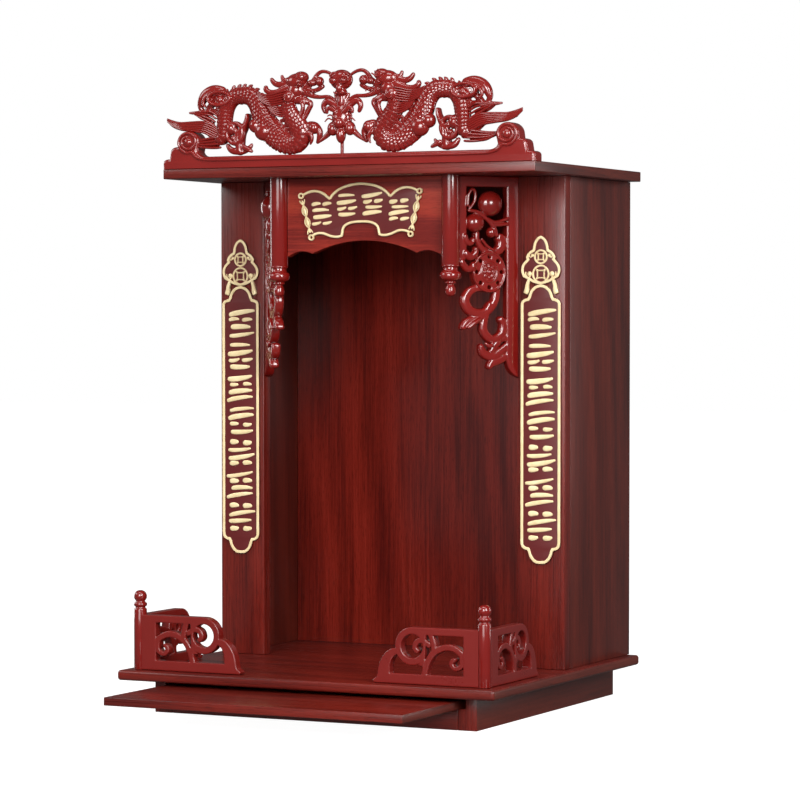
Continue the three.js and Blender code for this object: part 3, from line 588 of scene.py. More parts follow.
def makePlaque(look):
    lowEdge = bow((0, 722.5), (26, 723), (29.5, 712), 10) + bow((31.5, 702.5), (40, 699.5), (52, 703.5), 8)
    lowEdge += bow((60, 706.5), (70, 709.5), (80, 704.5), 8)
    topEdge = bow((96, 767), (76, 779), (58, 767), 10) + bow((50, 761), (36, 780), (0, 781), 12)
    inset = [(x, z + 1.5) for x, z in lowEdge] + [(81, 705), (96.5, 764.5)]
    inset += [(x, z - 1.5) for x, z in topEdge]
    ground = slab("plaqueGround", [mirrorOutline(inset)], 0, signBoard["ground"], 0.6)
    ground.data.materials.append(signGround)
    front = -signBoard["ground"]
    raised = Carving()
    band = {"thick": 2.1, "y": front, "square": 0.75, "sides": 12, "step": 2.0}
    for edge, drop in ((lowEdge, 1.4), (topEdge, -1.4)):
        whole = [(-x, z + drop, 1.9) for x, z in reversed(edge)] + [(x, z + drop, 1.9) for x, z in edge[1:]]
        if edge is topEdge:
            whole = [(x, z + drop, 1.9) for x, z in edge] + [(-x, z + drop, 1.9) for x, z in edge[-2::-1]]
        raised.stroke(whole, **band)
    for side in (-1, 1):
        (topX, topZ), (lowX, lowZ) = [(side * x, z) for x, z in (look["corner"], look["foot"])]
        for x, z in ((topX, topZ), (lowX, lowZ)):
            ring = [(*spot, 1.5) for spot in arc(x, z, 3.5, 3.5, 0, 360, 16)]
            raised.stroke(ring, thick=2.4, y=front, sides=8, step=1.0, blunt=0.1)
        run = Vector((lowX - topX, lowZ - topZ))
        off = Vector((-run.y, run.x)).normalized()

        def onRope(t, sway):
            spot = Vector((topX, topZ)) + run * (0.09 + 0.82 * t) + off * sway
            return spot.x, spot.y

        for phase in (-1, 1):  # two cords cross and part again down each end
            cord = [(*onRope(k / 32, phase * 4.2 * cos(3 * pi * k / 32)), 0.9) for k in range(33)]
            raised.stroke(cord, thick=1.5, y=front - 0.2, sides=8, step=1.5)
        # a lozenge in each cell
        for t, reach, wide in ((0.1, 4.5, 2.4), (0.335, 7, 2.7), (0.665, 7, 2.7), (0.9, 4.5, 2.4)):
            spots = [onRope(t + k * reach / 56, 0) for k in (-1, 0, 1)]
            lozenge = [(*spot, half) for spot, half in zip(spots, (0.5, wide, 0.5))]
            raised.stroke(lozenge, thick=1.5, y=front, sides=8, step=1.5)
    for i, (x, z) in enumerate([(-64, 738), (-21.5, 751), (21.5, 751), (64, 739)]):
        dabRows(raised, x, z - (1.5 if 0 < i < 3 else 0), 36, 36, i + 1, front)
    goldwork = raised.piece("plaqueGoldwork")
    goldwork.data.materials.append(signGold)
    board = joinUp("headerPlaque", [ground, goldwork])
    place = Matrix.Translation([look[key] * mm for key in ("shift", "front", "middle")])
    lean = Matrix.Rotation(radians(-look["tilt"]), 4, "Y")
    board.data.transform(place @ lean @ Matrix.Translation((0, 0, -look["middle"] * mm)))
    dress(board, ["header_plaque"], None, smooth=40)


makePlaque(plaqueLook)


# couplet boards on the stiles: a long panel under a crown of two coins
coupletLook = {
    "x": 251.5, "front": 90.7, "half": 31.8, "foot": 219.4, "firstSign": 573, "pitch": 49.6, "signs": 7}


def coinRelief(wood, z, radius, front):
    ring = [(*spot, 1.6) for spot in arc(0, z, radius, radius, 0, 360, 32)]
    wood.stroke(ring, thick=1.9, y=front, sides=8, step=1.2, blunt=0.1)
    for k in range(4):  # the square hole's sides bend inwards and its corners meet the ring
        points = []
        for i in range(9):
            a = radians(45 + 90 * (k + i / 8))
            reach = radius * (0.86 if i in (0, 8) else 0.43 / cos(radians(90 * i / 8 - 45)))
            points.append((reach * cos(a), z + reach * sin(a), 1.1))
        wood.stroke(points, thick=1.7, y=front, sides=8, step=1.0)


def makeCouplet(look, side):
    foot, wide = look["foot"], look["half"]
    panel = [(0, foot), *bow((7, foot + 0.5), (17, foot + 5), (19.5, foot + 17), 8)]
    panel += bow((21, foot + 20), (wide, foot + 21), (wide, foot + 32), 8)
    panel += bow((wide, 601), (wide, 609), (21, 610.5), 8) + bow((19.5, 613), (16, 629), (0, 630.8), 8)
    crown = bow((0, 630.5), (12, 632), (20, 637.5), 4) + bow((28, 641.5), (36, 655), (24.5, 665.5), 8)
    crown.append((22.4, 667.6))
    crown += bow((23.6, 670.5), (21.5, 678), (12.8, 681.8), 6) + bow((12, 686), (10, 699), (0, 702), 8)
    front = -signBoard["ground"]
    grounds, rims = [], []
    for half, rim in ((panel, signBoard["panelRim"]), (crown, signBoard["crownRim"])):
        outline = mirrorOutline(half)
        grounds.append(slab("signGround", [outline], 0, signBoard["ground"], 0.6))
        relief = signBoard["relief"] + 0.5
        rims.append(slab("signRim", [outline, insetOutline(outline, rim)], front + 0.5, relief, 0.6))
    raised = Carving()
    coinRelief(raised, 671, 9.6, front)
    coinRelief(raised, 645.7, 12.4, front)
    for hand in (-1, 1):  # knobs, crescent curls and tassels beside the coins
        raised.bead(hand * 17.8, front, 646, 3.9, 2.2, 3.9)
        raised.stroke(sided(hand, (16.5, 642.5, 1.4), (20.5, 640.6, 1.5), (24, 644, 1.4), (24, 649.5, 0.9)),
            thick=1.7, y=front, sides=8, step=1.5)
        raised.bead(hand * 13.4, front, 673.2, 2.5, 1.9, 2.5)
        raised.stroke(sided(hand, (14, 671.5, 1.1), (17, 670.5, 1.2), (18.6, 673.5, 0.9)), thick=1.6,
            y=front, sides=8, step=1.0)
        raised.stroke(sided(hand, (19, 638.5, 2.4), (22, 630, 3.0), (23, 622, 3.8), (25, 616.8, 4.0)),
            thick=2.8, y=-2.6, square=0.7, sides=10, step=1.5, blunt=0.4)
    for i in range(look["signs"]):
        dabRows(raised, 0, look["firstSign"] - i * look["pitch"], 46, 44, i * 1.7 + 0.5, front)
    goldwork = raised.piece("signGoldwork")
    for part in (*rims, goldwork):
        part.data.materials.append(signGold)
    for part in grounds:
        part.data.materials.append(signGround)
    board = joinUp("coupletBoard", [*grounds, *rims, goldwork])
    board.data.transform(Matrix.Translation((side * look["x"] * mm, look["front"] * mm, 0)))
    board.name = "coupletRight" if side > 0 else "coupletLeft"
    dress(board, ["couplet_board_" + ("right" if side > 0 else "left")], None, smooth=40)


for side in (-1, 1):
    makeCouplet(coupletLook, side)
print("header, plaque and couplets made")

# turned pendants under the top board, and the posts of the forecourt
pendantLook = {"x": 142, "y": 8, "profile": [(0, 613), (3.2, 613.2), (5.8, 614.4), (7.4, 616.8), (8, 620),
    (7.8, 624), (6.9, 627.4), (5.6, 629.6), (5.3, 630.6), (7, 631.2), (8.3, 632.2), (8.5, 633.4),
    (7.8, 634.6), (8.4, 635.4), (12, 636.4), (14.6, 638.4), (15.9, 641), (16.2, 643.4), (15.8, 646),
    (14.4, 648.4), (12.2, 650), (11.2, 651), (11.2, 655.2), (12.4, 656), (13.4, 656.8), (13.7, 657.6),
    (13.4, 658.4), (13.1, 658.9), (13.5, 659.5), (13.5, heights["underTop"]), (0, heights["underTop"])]}
postLook = {"x": 279, "y": -170, "profile": [(0, 0), (9.2, 0), (9.5, 0.4), (9.5, 88), (9.2, 89.2),
    (7.6, 90.4), (7.2, 91.6), (7.6, 92.6), (9.3, 93.6), (9.8, 94.8), (9.8, 96.6), (9.3, 97.8), (7.6, 98.8),
    (6.8, 100), (7, 101.4), (8.4, 103), (9.4, 105.4), (9.6, 108), (9.1, 110.8), (7.8, 113.2), (5.6, 115.2),
    (2.8, 116.3), (0, 116.5)]}
for side, hand in ((-1, "left"), (1, "right")):
    pendant = turned("pendant" + hand.title(), pendantLook["profile"],
        (side * pendantLook["x"] * mm, pendantLook["y"] * mm, 0), 64)
    dress(pendant, ["pendant_" + hand], [redLacquer], smooth=50)
    post = turned("post" + hand.title(), postLook["profile"],
        (side * postLook["x"] * mm, postLook["y"] * mm, heights["deck"] * mm))
    dress(post, ["rail_post_" + hand], [redLacquer], smooth=50)


# pierced rails, drawn from the post outwards; z up from the deck
railLook = {"thick": 15, "high": 81, "clear": 9.8, "grain": 0.7, "keep": 0.35}


def railCarving(look, start, name):
    ringX, ringZ = 110, 54
    thick, high = look["thick"], look["high"]
    outline = [(start, 0), (170.5, 0), (172, 4), (166, 8), *arc(136, 8, 28.5, 42.5, 0, 90, 14)[1:]]
    outline += [*arc(ringX, ringZ, 26.5, high - ringZ, 0, 90, 14), (start, high)]
    vineHole = [(30, 14.5), (90, 14.5), (90, 30), (88, 70.3), (30, 70.3)]
    footHole = [(92, 14.5), (145, 14.5), *bow((144.5, 26), (142, 38), (134, 41.5), 8)]
    footHole += arc(ringX, ringZ, 26.5, 27, -36, -125, 10)
    ringHole = arc(ringX, ringZ, 17, 17, 0, 350, 35)
    board = slab(name, [outline, vineHole, ringHole, footHole], thick / 2, thick, 1)
    vines = Carving()
    bars = {"thick": thick / 2 - 0.2, "square": 0.32, "sides": 20, "step": 2.0}
    vines.strokes(
        [(93, 8, 4.8), (91, 15, 4.8), (89, 24, 4.7), (85, 34, 4.7), (76, 46, 4.7), (60, 53.5, 4.8),
            (46, 53, 4.8), (34, 46, 4.8), (28, 36, 4.8)],
        [(33, 46, 3.6), (33, 30, 3.6), (42, 24.5, 3.6), (49, 30, 3.6), (46, 37, 3.4), (41, 35, 2.8)],
        [(76, 44, 4.2), (77, 60, 4.2), (83, 76, 4.4)],
        [(80, 54, 4.2), (94, 62, 4.2), (103, 60, 4.2), (106, 51, 4), (99, 45, 3.4)],
        [(84, 34, 4.6), (92, 31, 4.6), (102, 30, 4.6)],
        **bars)
    return blend(name, [board, vines.piece(name + "Vines")], look["grain"], 2, look["keep"])


# the rail is cut round where it meets the shaft of its post
def clearShaft(piece, radius, x, y, low, high):
    deselectAll()
    middle = (x * mm, y * mm, (low + high) / 2 * mm)
    bpy.ops.mesh.primitive_cylinder_add(
        vertices=64, radius=radius * mm, depth=(high - low) * mm, location=middle)
    cutter = bpy.context.object
    modify(piece, "BOOLEAN", operation="DIFFERENCE", object=cutter, solver="EXACT")
    bpy.data.objects.remove(cutter)


for name, start in (("front", 4.5), ("side", 7.8)):
    rail = railCarving(railLook, start, name + "Rail")
    clearShaft(rail, railLook["clear"], 0, 0, -10, 100)
    for side, hand in ((-1, "left"), (1, "right")):
        spot = Matrix.Translation((side * postLook["x"] * mm, postLook["y"] * mm, heights["deck"] * mm))
        if name == "side":
            spot = spot @ Matrix.Rotation(pi / 2, 4, "Z")
        elif side > 0:
            spot = spot @ mirrorX
        copy = copyOf(rail, f"{name}Rail{hand.title()}", spot)
        dress(copy, [f"{name}_rail_{hand}"], [railLacquer], smooth=40)
    bpy.data.objects.remove(rail)
print("turned posts, pendants and rails made")

# pierced corner brackets, drawn with x out to the stile and z down from the top board
bracketLook = {
    "corner": (213.3, 91, 789.8), "turn": 51, "clear": 13.8, "thick": 15, "grain": 0.65, "keep": 0.45}


def makeBracket(look):
    thick = look["thick"]
    mid = thick / 2
    edge = [(14, -0.3), (-104, -0.3), (-104, -127), *bow((-96, -127), (-84, -127), (-84, -114), 8)]
    edge += [(-84, -16.5), (-19, -16.5), *bow((-19, -266), (-17, -297), (14, -299), 12)]
    frameBoard = slab("bracketFrame", [edge], thick, thick, 2.2)
    forms = Carving()
    for fruit in ((-46.5, 1, -41, 19, 15, 18.6), (-70.5, 2, -69, 14.5, 12.5, 14), (-44, 2, -83, 7.6, 8, 8)):
        forms.bead(*fruit, 40, 24)
    bars = {"thick": mid - 0.2, "y": mid, "square": 0.62, "sides": 20, "step": 2.0}
    relief = {"thick": 6.5, "y": 3.4, "square": 0.9, "sides": 16, "step": 2.0}
    thin = {"flat": 1, "y": -1.5, "sides": 12, "step": 2.0}
    vines = (
        (thin, (-84, -46, 2.4), (-82, -28, 2.4), (-76, -20, 2.6), (-71.5, -26, 2.6), (-73, -38, 2.4),
            (-82, -50, 2.2)),
        (thin, (-84, -51, 2.6), (-66, -54, 2.8), (-50, -66, 3), (-40, -78, 3.6), (-36, -90, 2.5)),
        (thin, (-54, -62, 2.4), (-38, -68, 2.6), (-17, -62, 2.8)),
        (thin, (-50, -66, 2.2), (-38, -72, 2.4), (-17, -70, 2.6)),
        (bars, (-66, -80, 4.2), (-66, -94, 4.6), (-56, -108, 5.4), (-40, -113, 6.6), (-27.5, -106, 7.6),
            (-26, -93, 8.2), (-36, -89, 5.6)),
        (thin, (-62, -92, 2), (-52, -103, 2.2), (-40, -110, 2)),
        (relief, (-88, -84, 4.4), (-84, -97, 5.2), (-75, -98, 4.4), (-75, -90, 2.6)),
        (relief, (-90, -110, 6), (-78, -119, 6.4), (-69, -112, 5.4), (-72, -104, 3.4)),
        (relief, (-96, -122, 6), (-84, -136, 5.6), (-74, -134, 5.4), (-74, -126, 3.4)),
        (bars, (-33, -158, 6), (-37, -184, 6.6), (-54, -201, 7.2), (-75, -199, 7.4), (-85, -184, 7.4),
            (-78, -170, 6.6), (-66, -165, 5.4), (-54, -166, 4)),
        (bars, (-92, -225, 2.6), (-82, -217, 8), (-66, -210, 7.4), (-50, -202, 5.4)),
        (thin, (-84, -224, 2.4), (-74, -217, 3.4), (-62, -209, 2.4)),
        (bars, (-42, -184, 5), (-52, -204, 6.4), (-55, -226, 6.8), (-42, -240, 6.8), (-26, -233, 6.6),
            (-22.5, -217, 6.2), (-31, -207, 4.6)),
        (bars, (-30, -240, 5.6), (-20, -238, 5.6), (-8, -236, 5.6)),
        (bars, (-60, -246, 3.4), (-55, -260, 6.6), (-40, -265, 7), (-26, -257, 6.6), (-12, -246, 6)),
        (bars, (-48, -284, 3.2), (-41, -275, 6.6), (-28, -270, 6.6), (-12, -262, 6)),
        (bars, (-27, -240, 5.6), (-38, -251, 5.6), (-45, -262, 4.6)),
        (thin, (-56, -245, 2), (-47, -250, 3.4), (-41, -244, 2.4)))
    for style, *points in vines:
        forms.stroke(points, **style)
    cx, cz = -47.5, -141
    holes = [arc(x, z, 2.7, 2.9, 0, 330, 11) for x, z in arc(cx, cz, 20, 22.6, 0, 315, 7)]
    wheel = slab("bracketWheel", [arc(cx, cz, 27, 30.5, 0, 354, 59), *holes], thick - 1, thick - 0.4, 1.6)
    for outer, half in ((25.4, 1.5), (12.6, 1.5)):
        ring = [(x, z, half) for x, z in arc(cx, cz, outer, outer * 1.13, 0, 360, 24)]
        forms.stroke(ring, y=-0.7, flat=1, sides=12, step=2, blunt=0.1)
    forms.bead(cx, -0.6, cz, 3.4, 2.6, 3.6, 24, 14)
    for x, z in arc(cx, cz, 7.4, 8.2, 0, 315, 7):
        forms.bead(x, -0.6, z, 2.5, 2.2, 2.5)
    parts = [frameBoard, wheel, forms.piece("bracketForms")]
    whole = blend("bracket", parts, look["grain"], 2, look["keep"])
    # cut to the stile's side and clear of the pendant's shaft
    place = Matrix.Translation([v * mm for v in look["corner"]])
    whole.data.transform(place @ Matrix.Rotation(radians(look["turn"]), 4, "Z"))
    cutAway(whole, ((look["corner"][0] - 0.1) * mm, 0, 0), (1, 0, 0))
    clearShaft(whole, look["clear"], pendantLook["x"], pendantLook["y"], 400, 800)
    twin = copyOf(whole, "bracketLeft", mirrorX)
    whole.name = "bracketRight"
    for piece, hand in ((whole, "right"), (twin, "left")):
        dress(piece, ["corner_bracket_" + hand], [redLacquer], smooth=45)


makeBracket(bracketLook)
print("brackets carved")

# crest rail: a rounded front edge that runs up round a volute at each end
crestLook = {"front": -58, "deep": 28, "high": 17.2, "eye": (261, 22), "top": 822, "ease": 4.5, "half": 305}


def makeCrestRail(look):
    end, down = look["half"], -look["high"]
    eyeX, eyeZ = look["eye"]
    half = [(0, down - 10), (end, down - 10), *bow((end, -9), (end, -2.5), (294, -2.5), 8)]
    half += bow((292, 9), (290, 15.5), (280, 15.5), 8)
    half += arc(eyeX, eyeZ, 18, 16.5, 10, 200, 24) + bow((246, 8), (244, 1), (232, 0), 8) + [(0, 0)]
    back = look["front"] + look["deep"]
    rail = slab("crestRail", [mirrorOutline(half)], back, look["deep"], look["ease"], 6)
    cutAway(rail, (0, 0, down * mm), (0, 0, -1))
    scrolls = Carving()
    for side in (-1, 1):
        run = ((-2, -5.6), (60, -5.6), (120, -5.6), (180, -5.6), (225, -5.2), (238, -3.6), (247, -0.6))
        line = [(side * x, z, 2.2) for x, z in run]
        for k in range(22):
            t = k / 21
            angle = radians(-112 + 560 * t)
            reach = 17.5 - 8.5 * t
            x, z = eyeX + reach * cos(angle), eyeZ + (reach - 1) * sin(angle)
            line.append((side * x, z, 2.6 - 0.4 * t))
        scrolls.stroke(line, thick=2.8, y=look["front"] + 0.2, sides=12, step=2)
        scrolls.bead(side * eyeX, look["front"] + 0.6, eyeZ, 7, 4.6, 7, 32, 20)
    rail = joinUp("crestRail", [rail, scrolls.piece("crestScrolls")])
    rail.data.transform(Matrix.Translation((0, 0, look["top"] * mm)))
    dress(rail, ["crest_rail"], [crestLacquer], smooth=40)


makeCrestRail(crestLook)
print("crest rail made")

# the carving on the crest: x runs out from its middle, z up from the rail
dragonLook = {"shift": -7.5, "y": -47, "deep": 11, "grain": 0.75, "keep": 0.22}
dragonBody = [(88, 78, 10), (86, 61, 12.5), (76, 46, 14.5), (67, 31, 15.5), (74, 17, 14.5), (92, 16, 14.5),
    (110, 28, 17), (124, 42, 17), (133, 60, 15.5), (140, 76, 14), (151, 87, 13), (166, 89, 12.5),
    (181, 86, 12), (191, 75, 12), (195, 60, 11.5), (196, 44, 11), (198, 29, 10), (210, 21, 8)]


soft = {"flat": 1, "square": 0.9, "sides": 16, "step": 2.0}  # round limbs
broad = {"square": 0.8, "sides": 20, "step": 2.0}  # flat limbs and hair


def strands(wood, tops, lows, count, half, **options):
    # hair or flame locks laid side by side between an upper and a lower line
    for i in range(count):
        t = i / (count - 1)
        points = []
        for (x1, z1), (x2, z2) in zip(tops, lows):
            points.append((x1 + (x2 - x1) * t, z1 + (z2 - z1) * t, half))
        points[0] = (*points[0][:2], half * 0.8)
        points[-1] = (*points[-1][:2], half * 0.35)
        wood.stroke(points, **options)


def carveBody(wood):
    wood.stroke(dragonBody, thick=dragonLook["deep"], square=0.85, sides=28, step=2)


def alongBody(pitch, start, end):
    path = smoothPath([Vector((x, 0, z, half)) for x, z, half in dragonBody], 0.5)
    spots, walked, due = [], 0, start
    total = sum((b - a).xyz.length for a, b in zip(path, path[1:]))
    for a, b in zip(path, path[1:]):
        walked += (b - a).xyz.length
        if walked >= due and walked <= total - end:
            along = (b - a).xyz.normalized()
            spots.append((a.xyz, a.w, along, Vector((-along.z, 0, along.x))))
            due += pitch
    return spots


scaleLook = {
    "pitch": 5.4, "across": 8, "spread": 160, "tilt": 17, "sunk": 0.7, "size": (3.9, 3.1, 2), "chest": 1.25}


def scaleCoat(wood, look):
    # rows of lapped scales from the belly edge to the back, each row set half a scale across
    deep = dragonLook["deep"]
    for row, (centre, half, along, out) in enumerate(alongBody(look["pitch"], 6, 6)):
        for k in range(look["across"]):
            angle = radians(look["spread"] * ((k + 0.5 * (row % 2)) / (look["across"] - 0.5) - 0.5))
            big = look["chest"] if row < 20 and angle < -0.5 else 1.0
            across = out * (half * copysign(abs(sin(angle)) ** 0.85, angle))
            spot = centre + across + Vector((0, -deep * cos(angle) ** 0.85, 0))
            normal = (out * sin(angle) / half + Vector((0, -cos(angle) / deep, 0))).normalized()
            turn = Matrix((along, along.cross(normal), normal)).transposed().to_4x4()
            turn = turn @ Matrix.Rotation(radians(look["tilt"]), 4, "Y")
            length, width, height = look["size"]
            swell = Matrix.Diagonal((length * big, width * big, height, 1))
            shape = Matrix.Translation(spot - normal * look["sunk"]) @ turn @ swell
            bmesh.ops.create_icosphere(wood.mesh, subdivisions=1, radius=1, matrix=shape)


def finRow(wood):
    for centre, half, along, out in alongBody(7.2, 22, 40):
        root, tip = centre + out * (half - 3), centre + out * (half + 4.5) - along * 4.5
        middle = (root + tip) / 2 + along * 1.4
        fin = [(root.x, root.z, 4.6), (middle.x, middle.z, 3.6), (tip.x, tip.z, 1)]
        wood.stroke(fin, thick=3, y=-3, sides=12, step=1.5)


def carveHead(wood):
    bead = lambda *where: wood.bead(*where, 28, 18)
    bead(74, -1, 107, 17, 11, 12)
    bead(66, -3, 113, 12, 9, 8.5)
    bead(60.5, -2, 112, 6, 7, 5.5)
    bead(76, -1, 94, 13, 10, 12)
    bead(84.6, -3, 84.2, 11.5, 12, 11)
    wood.stroke([(80, 80, 8), (66, 80, 6.5), (53, 75, 4)], **soft)
    bead(36.5, -2, 106, 7, 7.5, 7)
    bead(48, -2, 104, 8, 7, 5)
    wood.strokes(
        [(12, 113, 2.2), (24, 119.1, 2.6), (34, 120.1, 2.8), (42, 115, 3.2), (48, 106, 4), (58, 99, 5),
            (70, 96, 6)],
        [(10, 77, 2.4), (22, 83, 2.8), (36, 83, 3), (48, 85, 3.8), (60, 90, 5), (72, 92, 5)],
        [(29, 100, 2.6), (38, 95, 3.4), (48, 92.5, 3.4), (60, 95, 4.4)],
        [(56, 79, 4.4), (51.5, 73, 3.8), (55, 66, 3.8), (60, 58, 4), (66, 50, 4.6)],
        **soft)
    wood.stroke([(66, 78, 3.6), (62, 70, 3.2), (65, 60, 3), (70, 52, 3.4)], y=-5, **soft)
    wood.stroke([(82, 78, 6), (84, 66, 6), (80, 54, 6)], **soft)
    wood.stroke([(76, 112, 5), (86, 110, 4.4), (95, 108.6, 3.8), (99.6, 117.4, 2.2)], y=-2, **soft)
    wood.stroke([(82, 104, 5.4), (94, 104.2, 4.8), (104, 103.2, 4.6), (112, 106, 4), (118, 113.6, 2.8)],
        y=-1, **soft)
    wood.stroke([(80, 101, 6), (94, 96.2, 5.2), (107, 92, 4.8), (118, 92, 4.4), (126, 97, 4),
        (123.6, 102.4, 3.2)], y=-2, **soft)
    wood.strokes(
        [(84, 86, 8), (102, 84, 7), (118, 82, 6), (134, 89, 3)],
        [(86, 70, 7), (100, 65, 6), (112, 67, 5), (121, 76, 3)],
        thick=7, **broad)


def hair(wood):
    locks = (  # how many, half width, depth, upper line and lower line
        (6, 1.9, -8.5, [(88, 94), (102, 91), (115, 88), (127, 88.5), (139, 94)],
            [(84, 77), (102, 73.5), (115, 73), (127, 78), (137, 86)]),
        (5, 1.8, -8, [(82, 74), (93, 70), (104, 70), (114, 73), (124, 80)],
            [(80, 60), (93, 56), (104, 58), (113, 64), (122, 73)]),
        (6, 2.1, -6.5, [(203, 39), (215, 47), (229, 51), (249, 51), (268, 50.5), (281, 53), (292, 58)],
            [(201, 25), (215, 30), (229, 36), (249, 39), (266, 41), (280, 46), (292, 54)]),
        (4, 2.1, -6, [(198, 28), (208, 28), (222, 26), (237, 24), (251, 25)],
            [(199, 13), (208, 12.5), (222, 13), (236, 15), (250, 21)]),
        (4, 1.8, -6, [(206, 60), (216, 66), (228, 66), (244, 66)],
            [(210, 46), (222, 52), (234, 58), (247, 64)]))
    for count, half, y, tops, lows in locks:
        strands(wood, tops, lows, count, half, y=y, flat=1.5, sides=10, step=2.5)


def faceDetail(wood):
    # ringed eye, nostril, brow, teeth line and the lines of the cheek
    ring = [(x, z, 1) for x, z in arc(65, 102, 4.6, 3.8, 0, 360, 12)]
    wood.stroke(ring, y=-12, flat=1, sides=8, step=1.5, blunt=0.2)
    wood.bead(65, -11.8, 102, 2.8, 2.2, 2.6, 16, 10)
    wood.bead(36.5, -9, 106, 2.4, 1.6, 2.4, 14, 8)
    for k in range(5):
        x = 41 + 5 * k
        wood.stroke([(x, 92.5, 1.4), (x + 0.6, 88.5, 0.7)], y=-5, flat=1, sides=8, step=1.5)
    for k in range(3):
        wood.stroke([(53 + 5 * k, 115 + 2.6 * k, 1), (62 + 5 * k, 110 + 2.0 * k, 1.3),
            (70 + 4 * k, 112 + 1.4 * k, 0.9)], y=-11, flat=0.9, sides=8, step=1.5)
    cheek = []
    for i in range(17):  # a curl that rises as it winds in
        t = i / 16
        reach, angle = 9 - 7 * t, radians(100 + 420 * t)
        cheek.append((84.6 + reach * cos(angle), 84.2 + reach * sin(angle), 1.3, -4.5 * t))
    wood.stroke(cheek, y=-10.5, flat=0.9, sides=8, step=1.5)


def carveLimbs(wood):
    wood.bead(45, -2, 38, 9, 9, 9, 28, 18)
    wood.stroke([(60, 40, 7.5), (46, 41, 6.5), (37, 32, 5), (38, 23, 3.8), (42, 15, 1.6)], **soft)
    wood.stroke([(56, 32, 4), (48, 27, 3.4), (47, 19, 2.4), (50, 13, 1.2)], y=-6, **soft)
    wood.stroke(
        [(156, 62.5, 2.2), (157.5, 52, 3.6), (162, 42, 5), (168, 29, 6), (171, 0.5, 7)], thick=8.5, **broad)
    wood.stroke([(182, 8, 5.4), (165, 7, 5), (154, 12, 3.6), (149.5, 18, 1.8)], **soft)
    wood.stroke([(162, 5.6, 5), (182, 8, 5), (191.5, 18, 2.6)], y=-3, **soft)
    wood.stroke([(164, 14, 4), (152, 8, 3.4), (146, 5, 2)], y=-5, **soft)
    wood.bead(183, -2, 41, 9.5, 10, 10.5, 28, 18)
    wood.bead(128, -4, 35, 15, 10.5, 14, 32, 20)
    wood.bead(142, -3, 44, 11, 10, 11, 32, 20)
    paw = [(x, z, 3.4) for x, z in arc(176, 33, 13, 15, 70, 430, 18)]
    wood.stroke(paw, y=-4, thick=6, square=0.85, sides=14, step=1.8, blunt=0.2)
    wood.bead(175, -5, 37, 5.4, 6, 5.4, 24, 16)
    wood.bead(178, -5, 26, 4.6, 6, 4.6, 24, 16)
    for k in range(3):
        wood.stroke([(160 + 5 * k, 46 - 4 * k, 1.6), (166 + 4 * k, 34 - 2 * k, 1.8),
            (168 + 4 * k, 20, 1.4)], y=-8.4, flat=0.9, sides=8, step=2)


def carveTail(wood):
    rim = [(x, z, 3) for x, z in arc(200.5, 85.3, 18.5, 9.8, 0, 360, 18)]
    wood.stroke(rim, y=-6, thick=8, square=0.8, sides=16, step=1.5, blunt=0.1)
    wood.bead(199, -1, 85, 19, 8, 10.5, 32, 18)
    wood.bead(199, -9, 83.4, 6, 5.5, 6, 24, 16)
    wood.bead(205.5, -7.5, 80.6, 3.4, 4, 3.2, 20, 12)
    wood.stroke([(194, 96, 6), (212, 99, 7.5), (226, 94.5, 7.5), (234, 85, 7), (237.5, 74, 4.5),
        (232, 67, 3)], **soft)
    wood.stroke([(198, 92, 3), (214, 93, 3), (225, 87.5, 3), (229, 79, 2.6), (224, 73, 2.2)], y=-8, **soft)
    wood.strokes(
        [(206, 66.5, 5), (224, 66, 4.6), (242, 65.4, 3.4), (258, 66, 1.6)],
        [(206, 86, 5.4), (220, 75, 5), (228, 64, 4.4), (226, 55, 4), (214, 48, 3)],
        [(214, 51, 3.4), (225, 56, 4.4), (236, 59.6, 4.2), (247, 65, 1.8)],
        **soft)
    wood.strokes(
        [(205, 27, 7), (216, 34, 8), (229, 43, 7.6), (248, 46, 6.6), (266, 47, 5), (281, 49, 3.4)],
        [(204, 20, 7), (222, 21, 6.5), (238, 21, 5), (248, 23, 2.6)],
        thick=7, **broad)


def carveMask(wood):
    bead = lambda *where: wood.bead(*where, 32, 20)
    bead(0, -2, 107, 18, 12, 15)
    bead(0, -8, 95, 5.6, 7, 8)
    bead(0, -3, 89, 9.6, 8, 5.6)
    wood.stroke([(0, 96, 7), (0, 84, 6.6), (0, 66, 9)], flat=0.9, sides=20, step=2)
    bead(0, 0, 52, 16, 10.5, 19)
    bead(-1, -8, 44, 8.4, 8, 8.4)
    bead(0, -4, 27, 7.4, 8, 12.5)
    for side in (-1, 1):
        bead(side * 8.4, -10.5, 106, 6.2, 5, 6.2)
        bead(side * 14, -2, 36, 8.4, 8.6, 10.4)
        wood.stroke(sided(side, (0, 62, 4.4), (6, 76, 4.4), (12, 88, 2)), flat=0.9, sides=16, step=2)
        wood.stroke(sided(side, (2, 58, 6), (14, 72, 6), (25, 76.5, 5), (30.5, 69, 4.2), (27, 58.5, 2.8)),
            flat=0.9, sides=16, step=2)
        wood.stroke(sided(side, (4, 58, 3.4), (13, 65, 3.4), (20, 65, 3), (21, 57, 2.2)), y=-8, flat=0.9,
            sides=16, step=2)
        wood.stroke(sided(side, (12, 44, 4.4), (18, 34, 4.4), (26, 26, 3.8), (42, 15, 1.6)), flat=0.9,
            sides=16, step=2)
        wood.stroke(
            sided(side, (3, 114, 2.2), (9, 117, 2.4), (17, 112, 1.6)), y=-9, flat=1, sides=12, step=2)
    wood.stroke([(0, 20, 2.8), (0, 10, 2.6), (0, -2.5, 2.6)], flat=1, sides=20, step=2)


